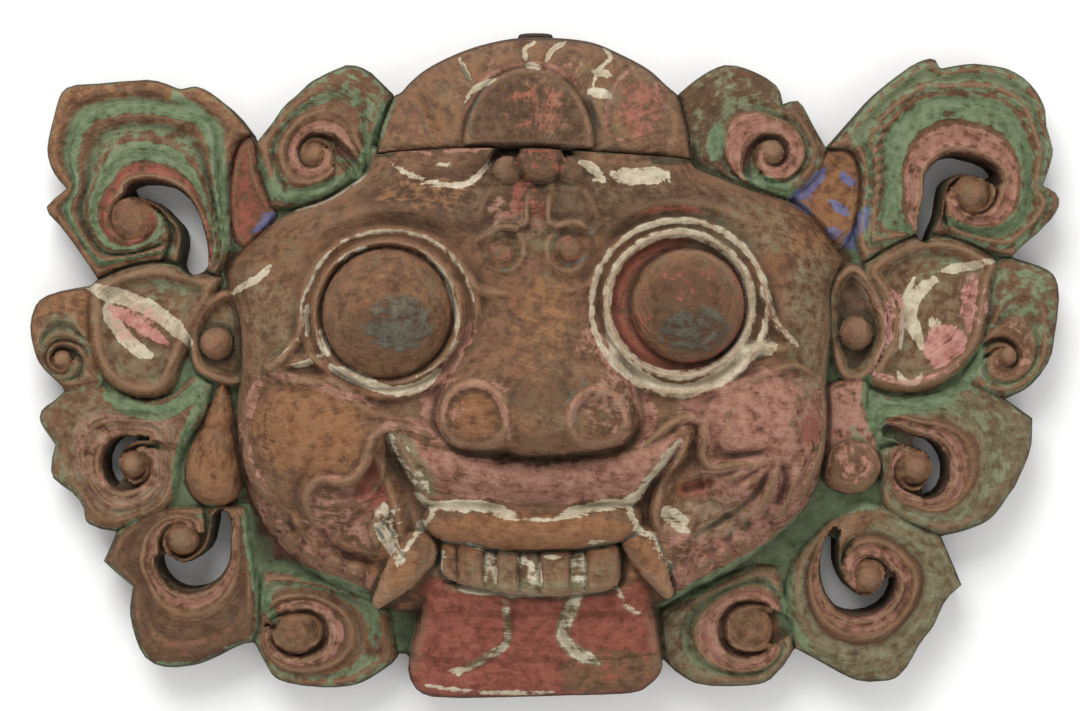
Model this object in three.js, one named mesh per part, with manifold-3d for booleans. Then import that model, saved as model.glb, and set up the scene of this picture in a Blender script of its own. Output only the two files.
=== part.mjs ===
// A carved wooden barong mask: the face of a mythical beast in a ring of pierced leaf scrolls.
// It lies on its flat back, face up: X to the viewer's right, Y to the top of the head, Z out of the face.
// Each leaf is an outline extruded to its own height, and the scrolls lean back and carry a knob, a groove
// and rolls. The face is a dome cut to its outline, with eyes, nose, cheeks and mouth, hollowed from behind.
import * as THREE from 'three';
import { mergeVertices } from 'three/addons/utils/BufferGeometryUtils.js';
import Module from 'manifold-3d';

const wasm = await Module();
wasm.setup();

// ---- driving dimensions, millimetres
const TALLEST = 220; // above everything, where cutters end
const BELOW = -5; // under the back, where cutters start
const JOINT_GAP = 0.3; // glue line between the mask and the crown block
const LEAN = 0.07; // how steeply the scrolls lean back, outwards from the head
const EMBED = 14; // how far a knob goes down into its leaf

// domes: centre, radii, height of the rim, rise over it, and the slopes of the rim along X and Y
const HEAD = { x: -5, y: -6, rx: 218, ry: 176, rim: 46, rise: 68 };
const BROW = { x: -6, y: 92, rx: 134, ry: 134, rim: 36, rise: 64 };
const ARCH = { x: -11, y: 144, rx: 43, ry: 54, lift: 3 };
const BOWL = { x: -5, y: -5, rx: 176, ry: 134, rim: 0, rise: 82 };
const TONGUE = { x: -5, y: -163, rx: 95, ry: 84, rim: 38, rise: 40, slopes: [0, 0.38], edge: 30 };
const TONGUE_TOP = -146;
const WEB = 38; // level of the plain ground between the leaves
const LOOP = { x: -6.5, y: 221.9, z: 14, rx: 10.5, ry: 3.5, wire: 2.1, sides: 6, steps: 10 };

// ---- outlines of the leaves and the face; a third number marks a corner, the rest is a smooth curve
const OUTLINES = {
  web: [
    [-196, 149], [-150, 168], [-104, 180], [0, 200], [90, 181], [150, 165], [191, 145], [215, 100],
    [300, 82], [316, 72], [302, 40], [302, 0], [312, -24], [290, -60], [268, -116], [240, -150],
    [170, -192], [120, -188], [79, -194], [0, -200], [-99, -197], [-150, -188], [-197, -187],
    [-250, -160], [-279, -150], [-272, -130], [-290, -113], [-300, -60], [-326, -19], [-310, 20],
    [-304, 58], [-260, 80], [-215, 110],
  ],
  scroll_1l: [
    [-199, 156, 1], [-210, 170], [-220, 179], [-230, 186], [-238, 188.5], [-248, 187], [-262, 192],
    [-276, 193], [-305, 190.5], [-320, 189.5], [-329, 184], [-334, 168], [-338.5, 146], [-334, 130],
    [-325, 119, 1], [-337, 109], [-338, 103], [-328, 92], [-312, 70], [-304, 58, 1], [-285, 66],
    [-262, 70], [-240, 66], [-222, 60, 1], [-213, 78], [-214, 100], [-214, 130], [-208, 150],
  ],
  sliver_l: [
    [-200, 156, 1], [-208, 150], [-214, 130], [-215, 105], [-212, 86], [-204, 75, 1], [-190, 88],
    [-181, 101], [-186, 112], [-194, 130], [-196, 150, 1],
  ],
  scroll_2l: [
    [-196, 150, 1], [-184, 165], [-178, 174], [-168, 183], [-158, 192], [-142, 200], [-132, 203],
    [-120, 199], [-110, 190], [-102, 182, 1], [-107, 165], [-114, 149], [-117, 135, 1], [-130, 123],
    [-150, 111], [-170, 106], [-186, 106, 1], [-190, 125],
  ],
  ear_l: [
    [-311, 52, 1], [-311, 30], [-309, 8], [-301, -9], [-287, -20], [-270, -24], [-254, -19], [-245, 0],
    [-237, 17], [-222, 44], [-218, 59, 1], [-240, 65], [-262, 70], [-285, 66], [-304, 58, 1],
  ],
  temple_l: [
    [-240, 12], [-238, 30], [-222, 48], [-208, 48], [-200, 30], [-200, 0], [-206, -14], [-222, -12],
    [-236, -4],
  ],
  scroll_3l: [
    [-306, 54, 1], [-325, 50.5], [-338, 47], [-346, 41], [-350, 30], [-350, 18], [-344, 0],
    [-330, -14], [-327, -19, 1], [-312, -22], [-298, -12], [-306, 10], [-308, 35],
  ],
  scroll_4l: [
    [-327, -19, 1], [-335, -26], [-342, -31], [-343, -40], [-333, -55, 1], [-336, -68], [-334, -78],
    [-320, -89], [-313.5, -98, 1], [-312, -107], [-303, -112], [-291, -114, 1], [-275, -108],
    [-258, -101], [-249, -86], [-247, -65], [-240, -50], [-230, -35], [-225, -14, 1], [-238, -8],
    [-252, -20], [-270, -25], [-290, -20], [-305, -12, 1],
  ],
  bead_l: [
    [-216, -12], [-208, -40], [-204, -70], [-206, -88], [-216, -97], [-232, -97], [-243, -86],
    [-244, -68], [-238, -50], [-228, -30], [-222, -14],
  ],
  scroll_5l: [
    [-291, -114, 1], [-297, -128], [-300, -134, 1], [-290, -143], [-280, -151, 1], [-282, -170],
    [-277, -190], [-270, -201], [-258, -206], [-240, -205], [-225, -200], [-207, -191],
    [-198, -189, 1], [-194, -175], [-195, -150], [-199, -120], [-203, -97, 1], [-216, -96],
    [-240, -97], [-262, -99], [-280, -107],
  ],
  scroll_6l: [
    [-198, -189, 1], [-190, -204], [-181, -215], [-155, -220], [-128, -218], [-107, -206],
    [-100, -199, 1], [-103, -180], [-108, -163], [-125, -152], [-150, -146], [-175, -141],
    [-192, -141, 1], [-195, -165],
  ],
  tongue: [
    [-80, -140, 1], [-84, -175], [-92, -200], [-91, -214], [-82, -224], [-62, -226.5], [-20, -225.7],
    [20, -224.5], [58, -223], [71, -217], [79, -206], [77, -190], [72, -165], [66, -140, 1],
  ],
  scroll_2r: [
    [90, 182.5, 1], [100, 191], [112, 199], [124, 203], [138, 200], [152, 193], [159, 186],
    [161.5, 176, 1], [168, 178.5], [174, 176.5], [183, 160], [191, 146, 1], [185, 128], [166, 111, 1],
    [140, 117], [118, 125], [99, 133, 1], [95, 152],
  ],
  almond_r: [
    [191, 146, 1], [204, 147], [213, 137], [216, 118], [213, 100], [207, 84], [199, 76, 1], [188, 90],
    [170, 108], [164, 117], [174, 130],
  ],
  scroll_1r: [
    [191, 146, 1], [206, 163], [225, 184], [245, 200], [256, 206], [264, 207], [268.5, 200.5, 1],
    [285, 203.5], [297, 203.5], [315, 200], [330, 190], [339, 175], [341, 160], [345, 145], [342, 132],
    [338, 121, 1], [347, 116], [349, 107], [340, 94], [325, 81], [317, 73, 1], [300, 77], [275, 86],
    [255, 88], [235, 80], [216, 69, 1], [211, 85], [213, 110], [214, 130], [208, 144],
  ],
  ear_r: [
    [216, 69, 1], [235, 82], [255, 88], [280, 86], [300, 76], [309, 67, 1], [304, 50], [300, 22],
    [289, 1], [264, -17], [240, -20], [221, -15], [217, -7], [222, 5], [229, 17], [230, 30], [224, 45],
    [216, 58],
  ],
  hollow_r: [
    [192, 20], [191, 45], [199, 62], [212, 66], [226, 48], [232, 25], [228, 5], [216, -10], [200, -8],
  ],
  scroll_3r: [
    [316, 73, 1], [338, 66], [347, 59], [350, 45], [347, 20], [343, 2], [330, -15], [313, -24, 1],
    [297, -22], [282, -14], [289, 0], [298, 20], [301, 50], [306, 68],
  ],
  lobe_r: [
    [190, -14], [217, -9], [221, -30], [227, -50], [229, -70], [217, -87], [198, -87], [187, -76],
    [185, -50], [186, -25],
  ],
  scroll_4r: [
    [313, -24, 1], [331.5, -37, 1], [330, -58], [321, -80], [316, -88], [303, -105], [286, -113],
    [269, -117, 1], [255, -112], [240, -105], [229, -95], [227, -70], [223, -50], [218, -35],
    [219, -17, 1], [240, -23], [265, -20], [285, -12, 1],
  ],
  scroll_5r: [
    [269, -117, 1], [278, -138], [283, -150, 1], [272, -161], [264, -178], [255, -190], [245, -207],
    [234, -215], [212, -215], [190, -204], [170, -193, 1], [167, -178], [163, -160], [166, -140],
    [178, -121], [196, -104], [215, -93, 1], [232, -98], [250, -109],
  ],
  scroll_6r: [
    [170, -193, 1], [160, -208], [145, -218], [108, -218.5], [90, -210], [78, -198, 1], [74, -180],
    [77, -167, 1], [95, -156], [120, -145], [142, -136], [157, -137, 1], [163, -152], [167, -172],
  ],
  face: [
    [-118, 146, 1], [-119, 129], [-135, 116], [-150, 108], [-168, 103], [-184, 95], [-200, 82],
    [-214, 72], [-218, 60], [-213, 47], [-206, 30], [-204, 5], [-205, -12], [-208, -35], [-207, -60],
    [-203, -85], [-195, -106], [-181, -126], [-165, -139], [-145, -150], [-120, -160], [-100, -167],
    [-60, -168], [40, -168], [75, -165], [100, -151], [130, -136], [155, -118], [171, -103],
    [181, -87], [187, -68], [189, -40], [188, -12], [192, 20], [192, 48], [199, 62], [206, 70],
    [197, 83], [180, 102], [165, 110], [140, 117], [118, 125], [100, 133], [99, 146, 1],
  ],
  fringe_l: [
    [-112, 150, 1], [-105, 135], [-90, 125], [-70, 119], [-55, 118.5], [-47, 121.5], [-38, 133],
    [-28, 150, 1],
  ],
  fringe_r: [
    [12, 150, 1], [22, 134], [30, 124], [42, 120], [60, 119], [78, 123], [90, 130], [99, 150, 1],
  ],
  crown: [
    [-102, 182, 1], [-97, 184], [-91, 191], [-80, 200], [-62, 209], [-42, 216], [-18, 220.5],
    [8, 220.5], [32, 218], [52, 209.5], [70, 200], [82, 189], [90, 182.5, 1], [94, 168], [97, 150],
    [98, 137, 1], [40, 140], [-10, 142.5], [-60, 143], [-113, 141, 1], [-110, 160],
  ],
};

// scrolls: the leaf, the eye that it winds about, radius and rise of the knob there, level of the leaf, where
// raised rolls run between the groove (0) and the edge (1), the groove as rows of [angle, radius, half width]
// about the eye, and the first and last row of the stretch that is pierced
const SCROLLS = [
  {
    leaf: 'scroll_1l', eye: [-279, 97], knob: 17, rise: 7,
    top: 50, pierced: [0, 4], rolls: [0.36, 0.72],
    groove: [
      [-34, 49, 11], [-7, 39.8, 8], [20, 31.5, 9.5], [60, 23.5, 7], [90, 20.5, 5], [114, 17.5, 1.5],
    ],
  },
  {
    leaf: 'scroll_2l', eye: [-156, 142], knob: 8, rise: 5,
    top: 50, pierced: null, rolls: [0.5],
    groove: [
      [-22, 28, 6], [0, 17, 6], [30, 15, 4], [60, 13.5, 2.5], [90, 12.5, 2], [135, 11, 1.5],
    ],
  },
  {
    leaf: 'scroll_3l', eye: [-328, 3], knob: 6.5, rise: 4,
    top: 46, pierced: null, rolls: [],
    groove: [
      [15, 18, 2], [60, 14, 2.5], [100, 13, 2.5], [150, 12, 2.2], [200, 11, 2], [260, 10, 1.8],
      [330, 8, 1.2],
    ],
  },
  {
    leaf: 'scroll_4l', eye: [-279, -68], knob: 10.5, rise: 7,
    top: 48, pierced: [1, 4.5], rolls: [],
    groove: [
      [60, 20, 1.5], [93, 17, 2.2], [130, 16.5, 5], [180, 15.5, 5.8], [220, 15.5, 5.8],
      [250, 15.5, 3.8], [275, 15, 1.6],
    ],
  },
  {
    leaf: 'scroll_5l', eye: [-245, -118], knob: 12.5, rise: 8,
    top: 50, pierced: [0, 5.5], rolls: [0.4],
    groove: [
      [28, 29, 5.5], [14, 27, 7], [-5, 25, 7.5], [-45, 26, 11], [-90, 26, 10.5], [-130, 20.5, 6],
      [-150, 17, 2], [-200, 13.5, 1],
    ],
  },
  {
    leaf: 'scroll_6l', eye: [-169, -183], knob: 15, rise: 4,
    top: 46, pierced: null, rolls: [],
    groove: [
      [150, 19, 1.5], [100, 14, 2], [60, 17, 2.2], [20, 20, 2.5], [-20, 19, 2.8], [-60, 15, 2.8],
      [-110, 14, 2.6], [-150, 17, 2], [-178, 17, 1],
    ],
  },
  {
    leaf: 'scroll_1r', eye: [288, 115], knob: 14, rise: 8,
    top: 52, pierced: [0, 7.5], rolls: [0.4],
    groove: [
      [222, 42, 5], [216, 37.5, 6.2], [203, 29, 7], [180, 24.5, 6.5], [150, 25, 8], [120, 23, 8],
      [90, 19.5, 6.5], [50, 19.5, 6], [25, 20, 4], [8, 18.5, 1.4],
    ],
  },
  {
    leaf: 'scroll_2r', eye: [153, 143], knob: 8, rise: 5,
    top: 50, pierced: null, rolls: [0.5],
    groove: [
      [222, 19, 5], [185, 13.5, 4.5], [140, 11.5, 3], [90, 10.5, 2.5], [45, 10.5, 2.2], [0, 10.5, 2],
      [-45, 10, 1.5],
    ],
  },
  {
    leaf: 'scroll_3r', eye: [313, 5], knob: 7.5, rise: 3,
    top: 47, pierced: null, rolls: [],
    groove: [
      [150, 15, 3], [110, 12, 3], [60, 9.5, 2.5], [0, 8.5, 2], [-50, 8, 1.5],
    ],
  },
  {
    leaf: 'scroll_4r', eye: [250, -70], knob: 13, rise: 8,
    top: 49, pierced: [1.5, 6], rolls: [],
    groove: [
      [126, 30, 4.5], [105, 20, 4.5], [80, 17, 4.2], [55, 17.5, 4.8], [0, 18, 6], [-38, 19, 6.6],
      [-65, 18.5, 4.5], [-86, 17.5, 1.5],
    ],
  },
  {
    leaf: 'scroll_5r', eye: [218, -144], knob: 12.5, rise: 8,
    top: 50, pierced: [0.5, 6.5], rolls: [0.4],
    groove: [
      [126, 37, 3.5], [140, 32, 5.2], [155, 28, 6], [190, 23, 8], [235, 21, 8.5], [270, 19.5, 6.5],
      [325, 17, 5.5], [360, 15.5, 4.2], [380, 14.5, 1.5],
    ],
  },
  {
    leaf: 'scroll_6r', eye: [139, -180], knob: 16, rise: 4,
    top: 46, pierced: null, rolls: [],
    groove: [
      [50, 20, 1.5], [90, 18, 2], [135, 19, 2.5], [180, 19, 2.8], [225, 19, 2.8], [270, 17, 2.6],
      [312, 18, 1.2],
    ],
  },
];
// a raised roll: half width, how far it stands out, and the least room beside the groove
const ROLL = { half: 4.5, out: 3, room: 4 };
const PER_ROW = 2; // points of a groove for each row
// depth of a groove that is pierced and of one that isn't, and the share of its width that is pierced
const CHANNEL = { pierced: 20, blind: 10, inset: 0.86 };

// plain leaves: height of the edge, rise in the middle, depth of the dish sunk in some, and width of its border
const LEAVES = {
  sliver_l: { rim: 36, rise: 8 },
  ear_l: { rim: 42, rise: 12, dish: 9, border: 9 },
  temple_l: { rim: 50, rise: 3, dish: 11, border: 4 },
  bead_l: { rim: 38, rise: 25 },
  almond_r: { rim: 38, rise: 9 },
  ear_r: { rim: 42, rise: 12, dish: 9, border: 9 },
  hollow_r: { rim: 50, rise: 2, dish: 17, border: 4 },
  lobe_r: { rim: 40, rise: 22 },
};
// balls in the two hollows beside the eyes
const TEMPLE_BALLS = [
  { x: -222, y: 14, rx: 11.5, ry: 11.5, rim: 43, rise: 20 },
  { x: 211, y: 21, rx: 12, ry: 12, rim: 34, rise: 20 },
];

// eyes: the ball and the double ring round it, each as centre and radii
const EYES = [
  { ball: [-104, 33, 43.5, 43.5], rings: [-103.5, 34, 58.5, 56] },
  { ball: [94, 38.5, 38, 38], rings: [88.5, 38.5, 58.5, 57] },
];
const EYE_RISE = 31;
const EYE_SINK = 9; // the ball's rim lies this far under the face
// section of the double ring: share of the radius and height over the face
const RING_SECTION = [
  [0.72, -12], [1.07, -12], [1.07, -2], [1, 6], [0.94, -1], [0.88, -1], [0.82, 7], [0.76, 3], [0.72, -12],
];

// domes set on the face for the cheeks
const CHEEKS = [
  { x: -153, y: -58, rx: 50, ry: 52, rim: 76, rise: 36, slopes: [0.1, 0.05] },
  { x: 143, y: -56, rx: 45, ry: 50, rim: 76, rise: 34, slopes: [-0.1, 0.05] },
];
// the nose: its underside from left to right, half its width going up, heights of bridge and lower end, and the
// soft tip, the wings and the ringed nostrils that stand on it
const NOSE = {
  x: -4, top: 84, root: 64, bridge: 116, rise: 28, sunk: 12, sharp: 2.6, round: 0.6, shoulder: 20, steps: 14,
  under: [[-78, -50], [-56, -57], [-26, -57], [-16, -61], [10, -61], [22, -59], [48, -57], [66, -50]],
  half: [[-62, 52], [-50, 66], [-36, 71], [-15, 67], [6, 55], [23, 44], [42, 37], [84, 26]],
};
const NOSE_DOMES = [
  { x: -3, y: -34, rx: 21, ry: 25, rim: 136, rise: 19 },
  { x: -46, y: -34, rx: 31, ry: 24, rim: 112, rise: 32 },
  { x: 34, y: -35, rx: 29, ry: 24, rim: 112, rise: 33 },
];
const NOSTRILS = [
  { x: -46, y: -34, radius: 22, z: 137, slopes: [0.2, 0.1] },
  { x: 34, y: -35, radius: 19, z: 139, slopes: [-0.15, 0.1] },
];
const NOSTRIL_RING = { half: 4, flat: 0.8 };
// beads of the forehead: centre, radius and rise
const BEADS = [[-3, 134, 16, 16], [-25, 128, 10, 9], [17, 128, 10, 9], [-29, 72, 10, 9], [16, 76, 10, 9]];

// raised lines of the face: path, half width, and how far it stands out
const RIDGES = [
  {
    path: [[-108, -36], [-115, -54], [-123, -72], [-138, -76], [-152, -79], [-158, -92], [-156, -107]],
    half: 5, out: 4,
  },
  {
    path: [[-104, -44], [-92, -52], [-76, -64], [-50, -72], [0, -76], [44, -72], [66, -62], [82, -48]],
    half: 11, out: 9,
  },
  { path: [[88, -37], [99, -39], [104, -50], [105, -62], [117, -68], [132, -66]], half: 5, out: 5 },
];
// centres and size of the small leaves that fringe the cheeks
const FRINGE = [[-174, -104], [-158, -125], [-134, -136], [100, -136], [126, -124], [152, -104]];
const FRINGE_LEAF = { rx: 12, ry: 8, rise: 7 };
const SUNK = 6; // how far a bead or small leaf goes down into the face

// the mouth opening and what stands in it
const MOUTH_RING = [
  [-104, -44, 1], [-93, -62], [-84, -80], [-73, -91], [-36, -93], [-15, -98.5], [5, -98.5], [30, -92],
  [57, -90], [67, -76], [80, -60], [91, -46, 1], [89, -60], [80, -76], [73, -92], [72, -106], [78, -122],
  [76, -140], [62, -150], [-70, -152], [-92, -146], [-101, -134], [-93, -118], [-94, -104], [-98, -88],
  [-103, -72], [-107, -58],
];
const MOUTH_FLOOR = 82;
const MOUTH_CORNERS = { y: -88, floor: 94 };
const GUM = { x: -8, y: -106, rx: 77, ry: 16, rim: 86, rise: 30 };
// the places between the teeth, and the height of each tooth
const TOOTH_SIDES = [-69, -54, -40, -32.5, -18, -4, 17.5, 27, 50];
const TOOTH_TOPS = [105, 106, 101, 106, 105, 107, 102, 106];
const TEETH = { y: -137.5, tall: 14, taper: 0.84, root: 78, sag: 0.0012, gap: 0.97 };
const FANGS = [
  { from: [-83, -124], to: [-110, -158], radii: [13, 4.5], z: 92 },
  { from: [62, -117], to: [83, -158], radii: [12, 4], z: 92 },
];

// cut lines of the crown's petals and the veins of the tongue
const CROWN_CUTS = [
  [[-58, 207], [-54, 197], [-49, 188]],
  [[-88, 186], [-76, 163], [-70, 146]],
  [[45, 209], [29, 190], [28, 172], [36, 146]],
  [[62, 204], [44, 182], [43, 162], [54, 147]],
];
const TONGUE_CUTS = [
  [[-22, -152], [-25, -180], [-40, -200], [-62, -208]],
  [[16, -152], [12, -175], [28, -200]],
];
const CUT = 3; // half width of those lines

// ---- curves and heights
const cap = (r) => Math.sqrt(Math.max(0, 1 - r * r));

// height of a dome over a point
function heightOn(dome, x, y) {
  const [alongX, alongY] = dome.slopes ?? [0, 0];
  const rise = dome.rise && dome.rise * cap(Math.hypot((x - dome.x) / dome.rx, (y - dome.y) / dome.ry));
  return dome.rim + rise + alongX * (x - dome.x) + alongY * (y - dome.y);
}

// slopes of a dome at a point, along X and Y
function slopesOn(dome, x, y) {
  const step = 1;
  return [
    (heightOn(dome, x + step, y) - heightOn(dome, x - step, y)) / (2 * step),
    (heightOn(dome, x, y + step) - heightOn(dome, x, y - step)) / (2 * step),
  ];
}

// points of a smooth curve through points of two or three numbers
function curve(points, perSpan) {
  const path = new THREE.CatmullRomCurve3(
    points.map((p) => new THREE.Vector3(p[0], p[1], p[2] ?? 0)), false, 'catmullrom', 0.5,
  );
  return path.getPoints(perSpan * (points.length - 1)).map((p) => [p.x, p.y, p.z]);
}

// drops the points that stray less than a tolerance from the line between their neighbours
function thinned(line, tolerance = 0.5) {
  const kept = [line[0]];
  for (let i = 1; i < line.length - 1; i += 1) {
    const [a, p, b] = [kept.at(-1), line[i], line[i + 1]];
    const across = (b[0] - a[0]) * (p[1] - a[1]) - (b[1] - a[1]) * (p[0] - a[0]);
    if (Math.abs(across) / Math.hypot(b[0] - a[0], b[1] - a[1]) > tolerance) kept.push(p);
  }
  return [...kept, line.at(-1)];
}

// a closed outline: smooth runs between its corners
function outline(points, perSpan = 3) {
  const corners = points.flatMap((p, i) => (p.length > 2 ? [i] : []));
  if (corners.length === 0) {
    const path = new THREE.CatmullRomCurve3(
      points.map((p) => new THREE.Vector3(p[0], p[1], 0)), true, 'catmullrom', 0.5,
    );
    return thinned(path.getPoints(perSpan * points.length).map((p) => [p.x, p.y])).slice(0, -1);
  }
  return corners.flatMap((start, c) => {
    const end = c + 1 < corners.length ? corners[c + 1] : corners[0] + points.length;
    const run = [];
    for (let i = start; i <= end; i += 1) run.push(points[i % points.length].slice(0, 2));
    return thinned(curve(run, perSpan)).slice(0, -1).map((p) => [p[0], p[1]]);
  });
}

// distance from a point to a closed outline
function distanceTo(ring, x, y) {
  return Math.min(...ring.map((a, i) => {
    const b = ring[(i + 1) % ring.length];
    const [dx, dy] = [b[0] - a[0], b[1] - a[1]];
    const k = THREE.MathUtils.clamp(((x - a[0]) * dx + (y - a[1]) * dy) / (dx * dx + dy * dy), 0, 1);
    return Math.hypot(x - a[0] - k * dx, y - a[1] - k * dy);
  }));
}

// the groove of a scroll as [x, y, half width], from its [angle, radius, half width] rows
function grooveLine(scroll) {
  return curve(scroll.groove, PER_ROW).map(([angle, radius, half]) => {
    const a = THREE.MathUtils.degToRad(angle);
    return [scroll.eye[0] + radius * Math.cos(a), scroll.eye[1] + radius * Math.sin(a), half];
  });
}

// a line moved sideways: the shift is given for each point, to the left of the way it runs
function shifted(line, shift) {
  return line.map((p, i) => {
    const a = line[Math.max(i - 1, 0)];
    const b = line[Math.min(i + 1, line.length - 1)];
    const length = Math.hypot(b[0] - a[0], b[1] - a[1]);
    const by = shift(p, i);
    return [p[0] - ((b[1] - a[1]) / length) * by, p[1] + ((b[0] - a[0]) / length) * by];
  });
}

// an outline moved outwards by a gap
function grown(ring, gap) {
  const area = THREE.ShapeUtils.area(ring.map((p) => new THREE.Vector2(p[0], p[1])));
  const turned = [ring.at(-1), ...ring, ring[0]];
  return shifted(turned, () => -Math.sign(area) * gap).slice(1, -1);
}

// ---- solids
function solidOf(geometry) {
  geometry.deleteAttribute('normal');
  geometry.deleteAttribute('uv');
  const merged = mergeVertices(geometry, 1e-4);
  const mesh = new wasm.Mesh({
    numProp: 3, vertProperties: merged.attributes.position.array, triVerts: merged.index.array,
  });
  return new wasm.Manifold(mesh);
}

const together = (solids) => solids.reduce((all, solid) => all.add(solid));
const without = (solid, cutters) => cutters.reduce((rest, cutter) => rest.subtract(cutter), solid);

function prism(ring, from, to) {
  const shape = new THREE.Shape(ring.map((p) => new THREE.Vector2(p[0], p[1])));
  const geometry = new THREE.ExtrudeGeometry(shape, { depth: to - from, bevelEnabled: false });
  return solidOf(geometry.translate(0, 0, from));
}

// tips a geometry that stands on the origin to the given slopes, and moves it to its place
function placed(geometry, x, y, z, slopes = [0, 0]) {
  const tip = new THREE.Matrix4().set(1, 0, 0, 0, 0, 1, 0, 0, slopes[0], slopes[1], 1, 0, 0, 0, 0, 1);
  return geometry.applyMatrix4(tip).translate(x, y, z);
}

function domeSolid(dome, around = 16) {
  const ball = new THREE.SphereGeometry(1, around, around / 2).rotateX(Math.PI / 2);
  return solidOf(placed(ball.scale(dome.rx, dome.ry, dome.rise), dome.x, dome.y, dome.rim, dome.slopes));
}

// a tube through points of three numbers, with square ends
function tube(points, radius, sides, steps) {
  const path = new THREE.CatmullRomCurve3(points.map((p) => new THREE.Vector3(...p)));
  const wire = new THREE.Shape();
  wire.absarc(0, 0, radius, 0, 2 * Math.PI);
  const options = { steps, extrudePath: path, curveSegments: sides / 2, bevelEnabled: false };
  return new THREE.ExtrudeGeometry(wire, options);
}

// a ridge lying on a dome and standing out of it, or a cutter for a groove when out is 0
function ridge(dome, points, half, out) {
  const path = points.map(([x, y]) => [x, y, heightOn(dome, x, y) + out - half]);
  return solidOf(tube(path, half, 4, points.length));
}

// an outline with a flat top that passes through a level over a point and leans back from there
function leaningPrism(ring, level, [x, y], slopes) {
  const shape = new THREE.Shape(ring.map((p) => new THREE.Vector2(p[0], p[1])));
  const geometry = new THREE.ExtrudeGeometry(shape, { depth: level, bevelEnabled: false });
  const { array } = geometry.attributes.position;
  for (let i = 0; i < array.length; i += 3) {
    if (array[i + 2] > 0) array[i + 2] += slopes[0] * (array[i] - x) + slopes[1] * (array[i + 1] - y);
  }
  return solidOf(geometry);
}

// an outline with a domed top
function domedPrism(ring, dome, around) {
  const top = prism(ring, 0, TALLEST).intersect(domeSolid(dome, around));
  return prism(ring, 0, dome.rim).add(top);
}

// the dome that fits over an outline
function domeOver(ring, { rim, rise }) {
  const box = new THREE.Box2().setFromPoints(ring.map((p) => new THREE.Vector2(p[0], p[1])));
  const { x, y } = box.getCenter(new THREE.Vector2());
  return { x, y, rx: box.max.x - x, ry: box.max.y - y, rim, rise };
}

const rings = Object.fromEntries(Object.entries(OUTLINES).map(([name, points]) => [name, outline(points)]));

function plainLeaf(name) {
  const leaf = LEAVES[name];
  const dome = domeOver(rings[name], leaf);
  const body = domedPrism(rings[name], dome, 6);
  if (!leaf.dish) return body;
  const dish = { ...dome, rx: dome.rx - leaf.border, ry: dome.ry - leaf.border, rise: leaf.dish };
  return body.subtract(domeSolid({ ...dish, rim: leaf.rim + leaf.rise }, 8));
}

// the two walls of a groove as one closed ring, at a share of its half width
function channelRing(line, share = 1) {
  const left = shifted(line, (p) => p[2] * share);
  const right = shifted(line, (p) => -p[2] * share);
  return [...left, ...right.reverse()];
}

function scrollLeaf(scroll) {
  const { eye, top, knob } = scroll;
  const ring = rings[scroll.leaf];
  const reach = Math.hypot(...eye);
  const slopes = eye.map((v) => (-LEAN * v) / reach);
  const line = grooveLine(scroll);
  const floor = top - (scroll.pierced ? CHANNEL.pierced : CHANNEL.blind);
  const outside = -Math.sign(scroll.groove.at(-1)[0] - scroll.groove[0][0]);
  const rolls = scroll.rolls.map((share) => {
    const room = (p) => Math.max(distanceTo(ring, p[0], p[1]) - p[2], ROLL.room);
    const path = shifted(line, (p) => outside * (p[2] + share * room(p))).filter((p, i) => i % 2 === 0);
    return ridge({ x: eye[0], y: eye[1], rim: top, rise: 0, slopes }, path, ROLL.half, ROLL.out);
  });
  const leaf = leaningPrism(ring, top, eye, slopes);
  const channel = prism(channelRing(line), floor, TALLEST);
  const dome = { x: eye[0], y: eye[1], rx: knob, ry: knob, rim: top - EMBED, rise: EMBED + scroll.rise };
  return together([leaf, ...rolls]).subtract(channel).add(domeSolid(dome, 8));
}

// holes right through the scrolls
function holes() {
  return SCROLLS.filter((scroll) => scroll.pierced).map((scroll) => {
    const [from, to] = scroll.pierced.map((row) => row * PER_ROW);
    return prism(channelRing(grooveLine(scroll).slice(from, to + 1), CHANNEL.inset), BELOW, TALLEST);
  });
}

function eye({ ball, rings: [ringX, ringY, radiusX, radiusY] }) {
  const [x, y, rx, ry] = ball;
  const slopes = slopesOn(HEAD, x, y);
  const section = RING_SECTION.map(([share, z]) => new THREE.Vector2(share, z));
  const loops = new THREE.LatheGeometry(section, 18).rotateX(Math.PI / 2).scale(radiusX, radiusY, 1);
  return [
    solidOf(placed(loops, ringX, ringY, heightOn(HEAD, ringX, ringY), slopes)),
    domeSolid({ x, y, rx, ry, rim: heightOn(HEAD, x, y) - EYE_SINK, rise: EYE_RISE, slopes }, 12),
  ];
}

// a block with slanting sides, between its neighbours
function tooth(top, index) {
  const [left, right] = TOOTH_SIDES.slice(index, index + 2);
  const x = (left + right) / 2;
  const y = TEETH.y + TEETH.sag * x * x;
  const block = new THREE.CylinderGeometry(TEETH.taper, 1, top - TEETH.root, 4).rotateY(Math.PI / 4);
  const half = (right - left) / 2 * TEETH.gap;
  block.rotateX(Math.PI / 2).scale(half * Math.SQRT2, TEETH.tall * Math.SQRT2, 1);
  return solidOf(block.translate(x, y, (top + TEETH.root) / 2));
}

function fang({ from, to, radii, z }) {
  const [dx, dy] = [to[0] - from[0], to[1] - from[1]];
  const cone = new THREE.CylinderGeometry(radii[1], radii[0], Math.hypot(dx, dy), 10);
  cone.rotateZ(Math.atan2(dy, dx) - Math.PI / 2);
  return solidOf(cone.translate((from[0] + to[0]) / 2, (from[1] + to[1]) / 2, z));
}

// a value between rows of [place, value]
function between(rows, place) {
  const next = rows.findIndex(([at]) => at > place);
  if (next === 0) return rows[0][1];
  if (next < 0) return rows.at(-1)[1];
  const [[a, low], [b, high]] = rows.slice(next - 1, next + 1);
  return THREE.MathUtils.mapLinear(place, a, b, low, high);
}

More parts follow.
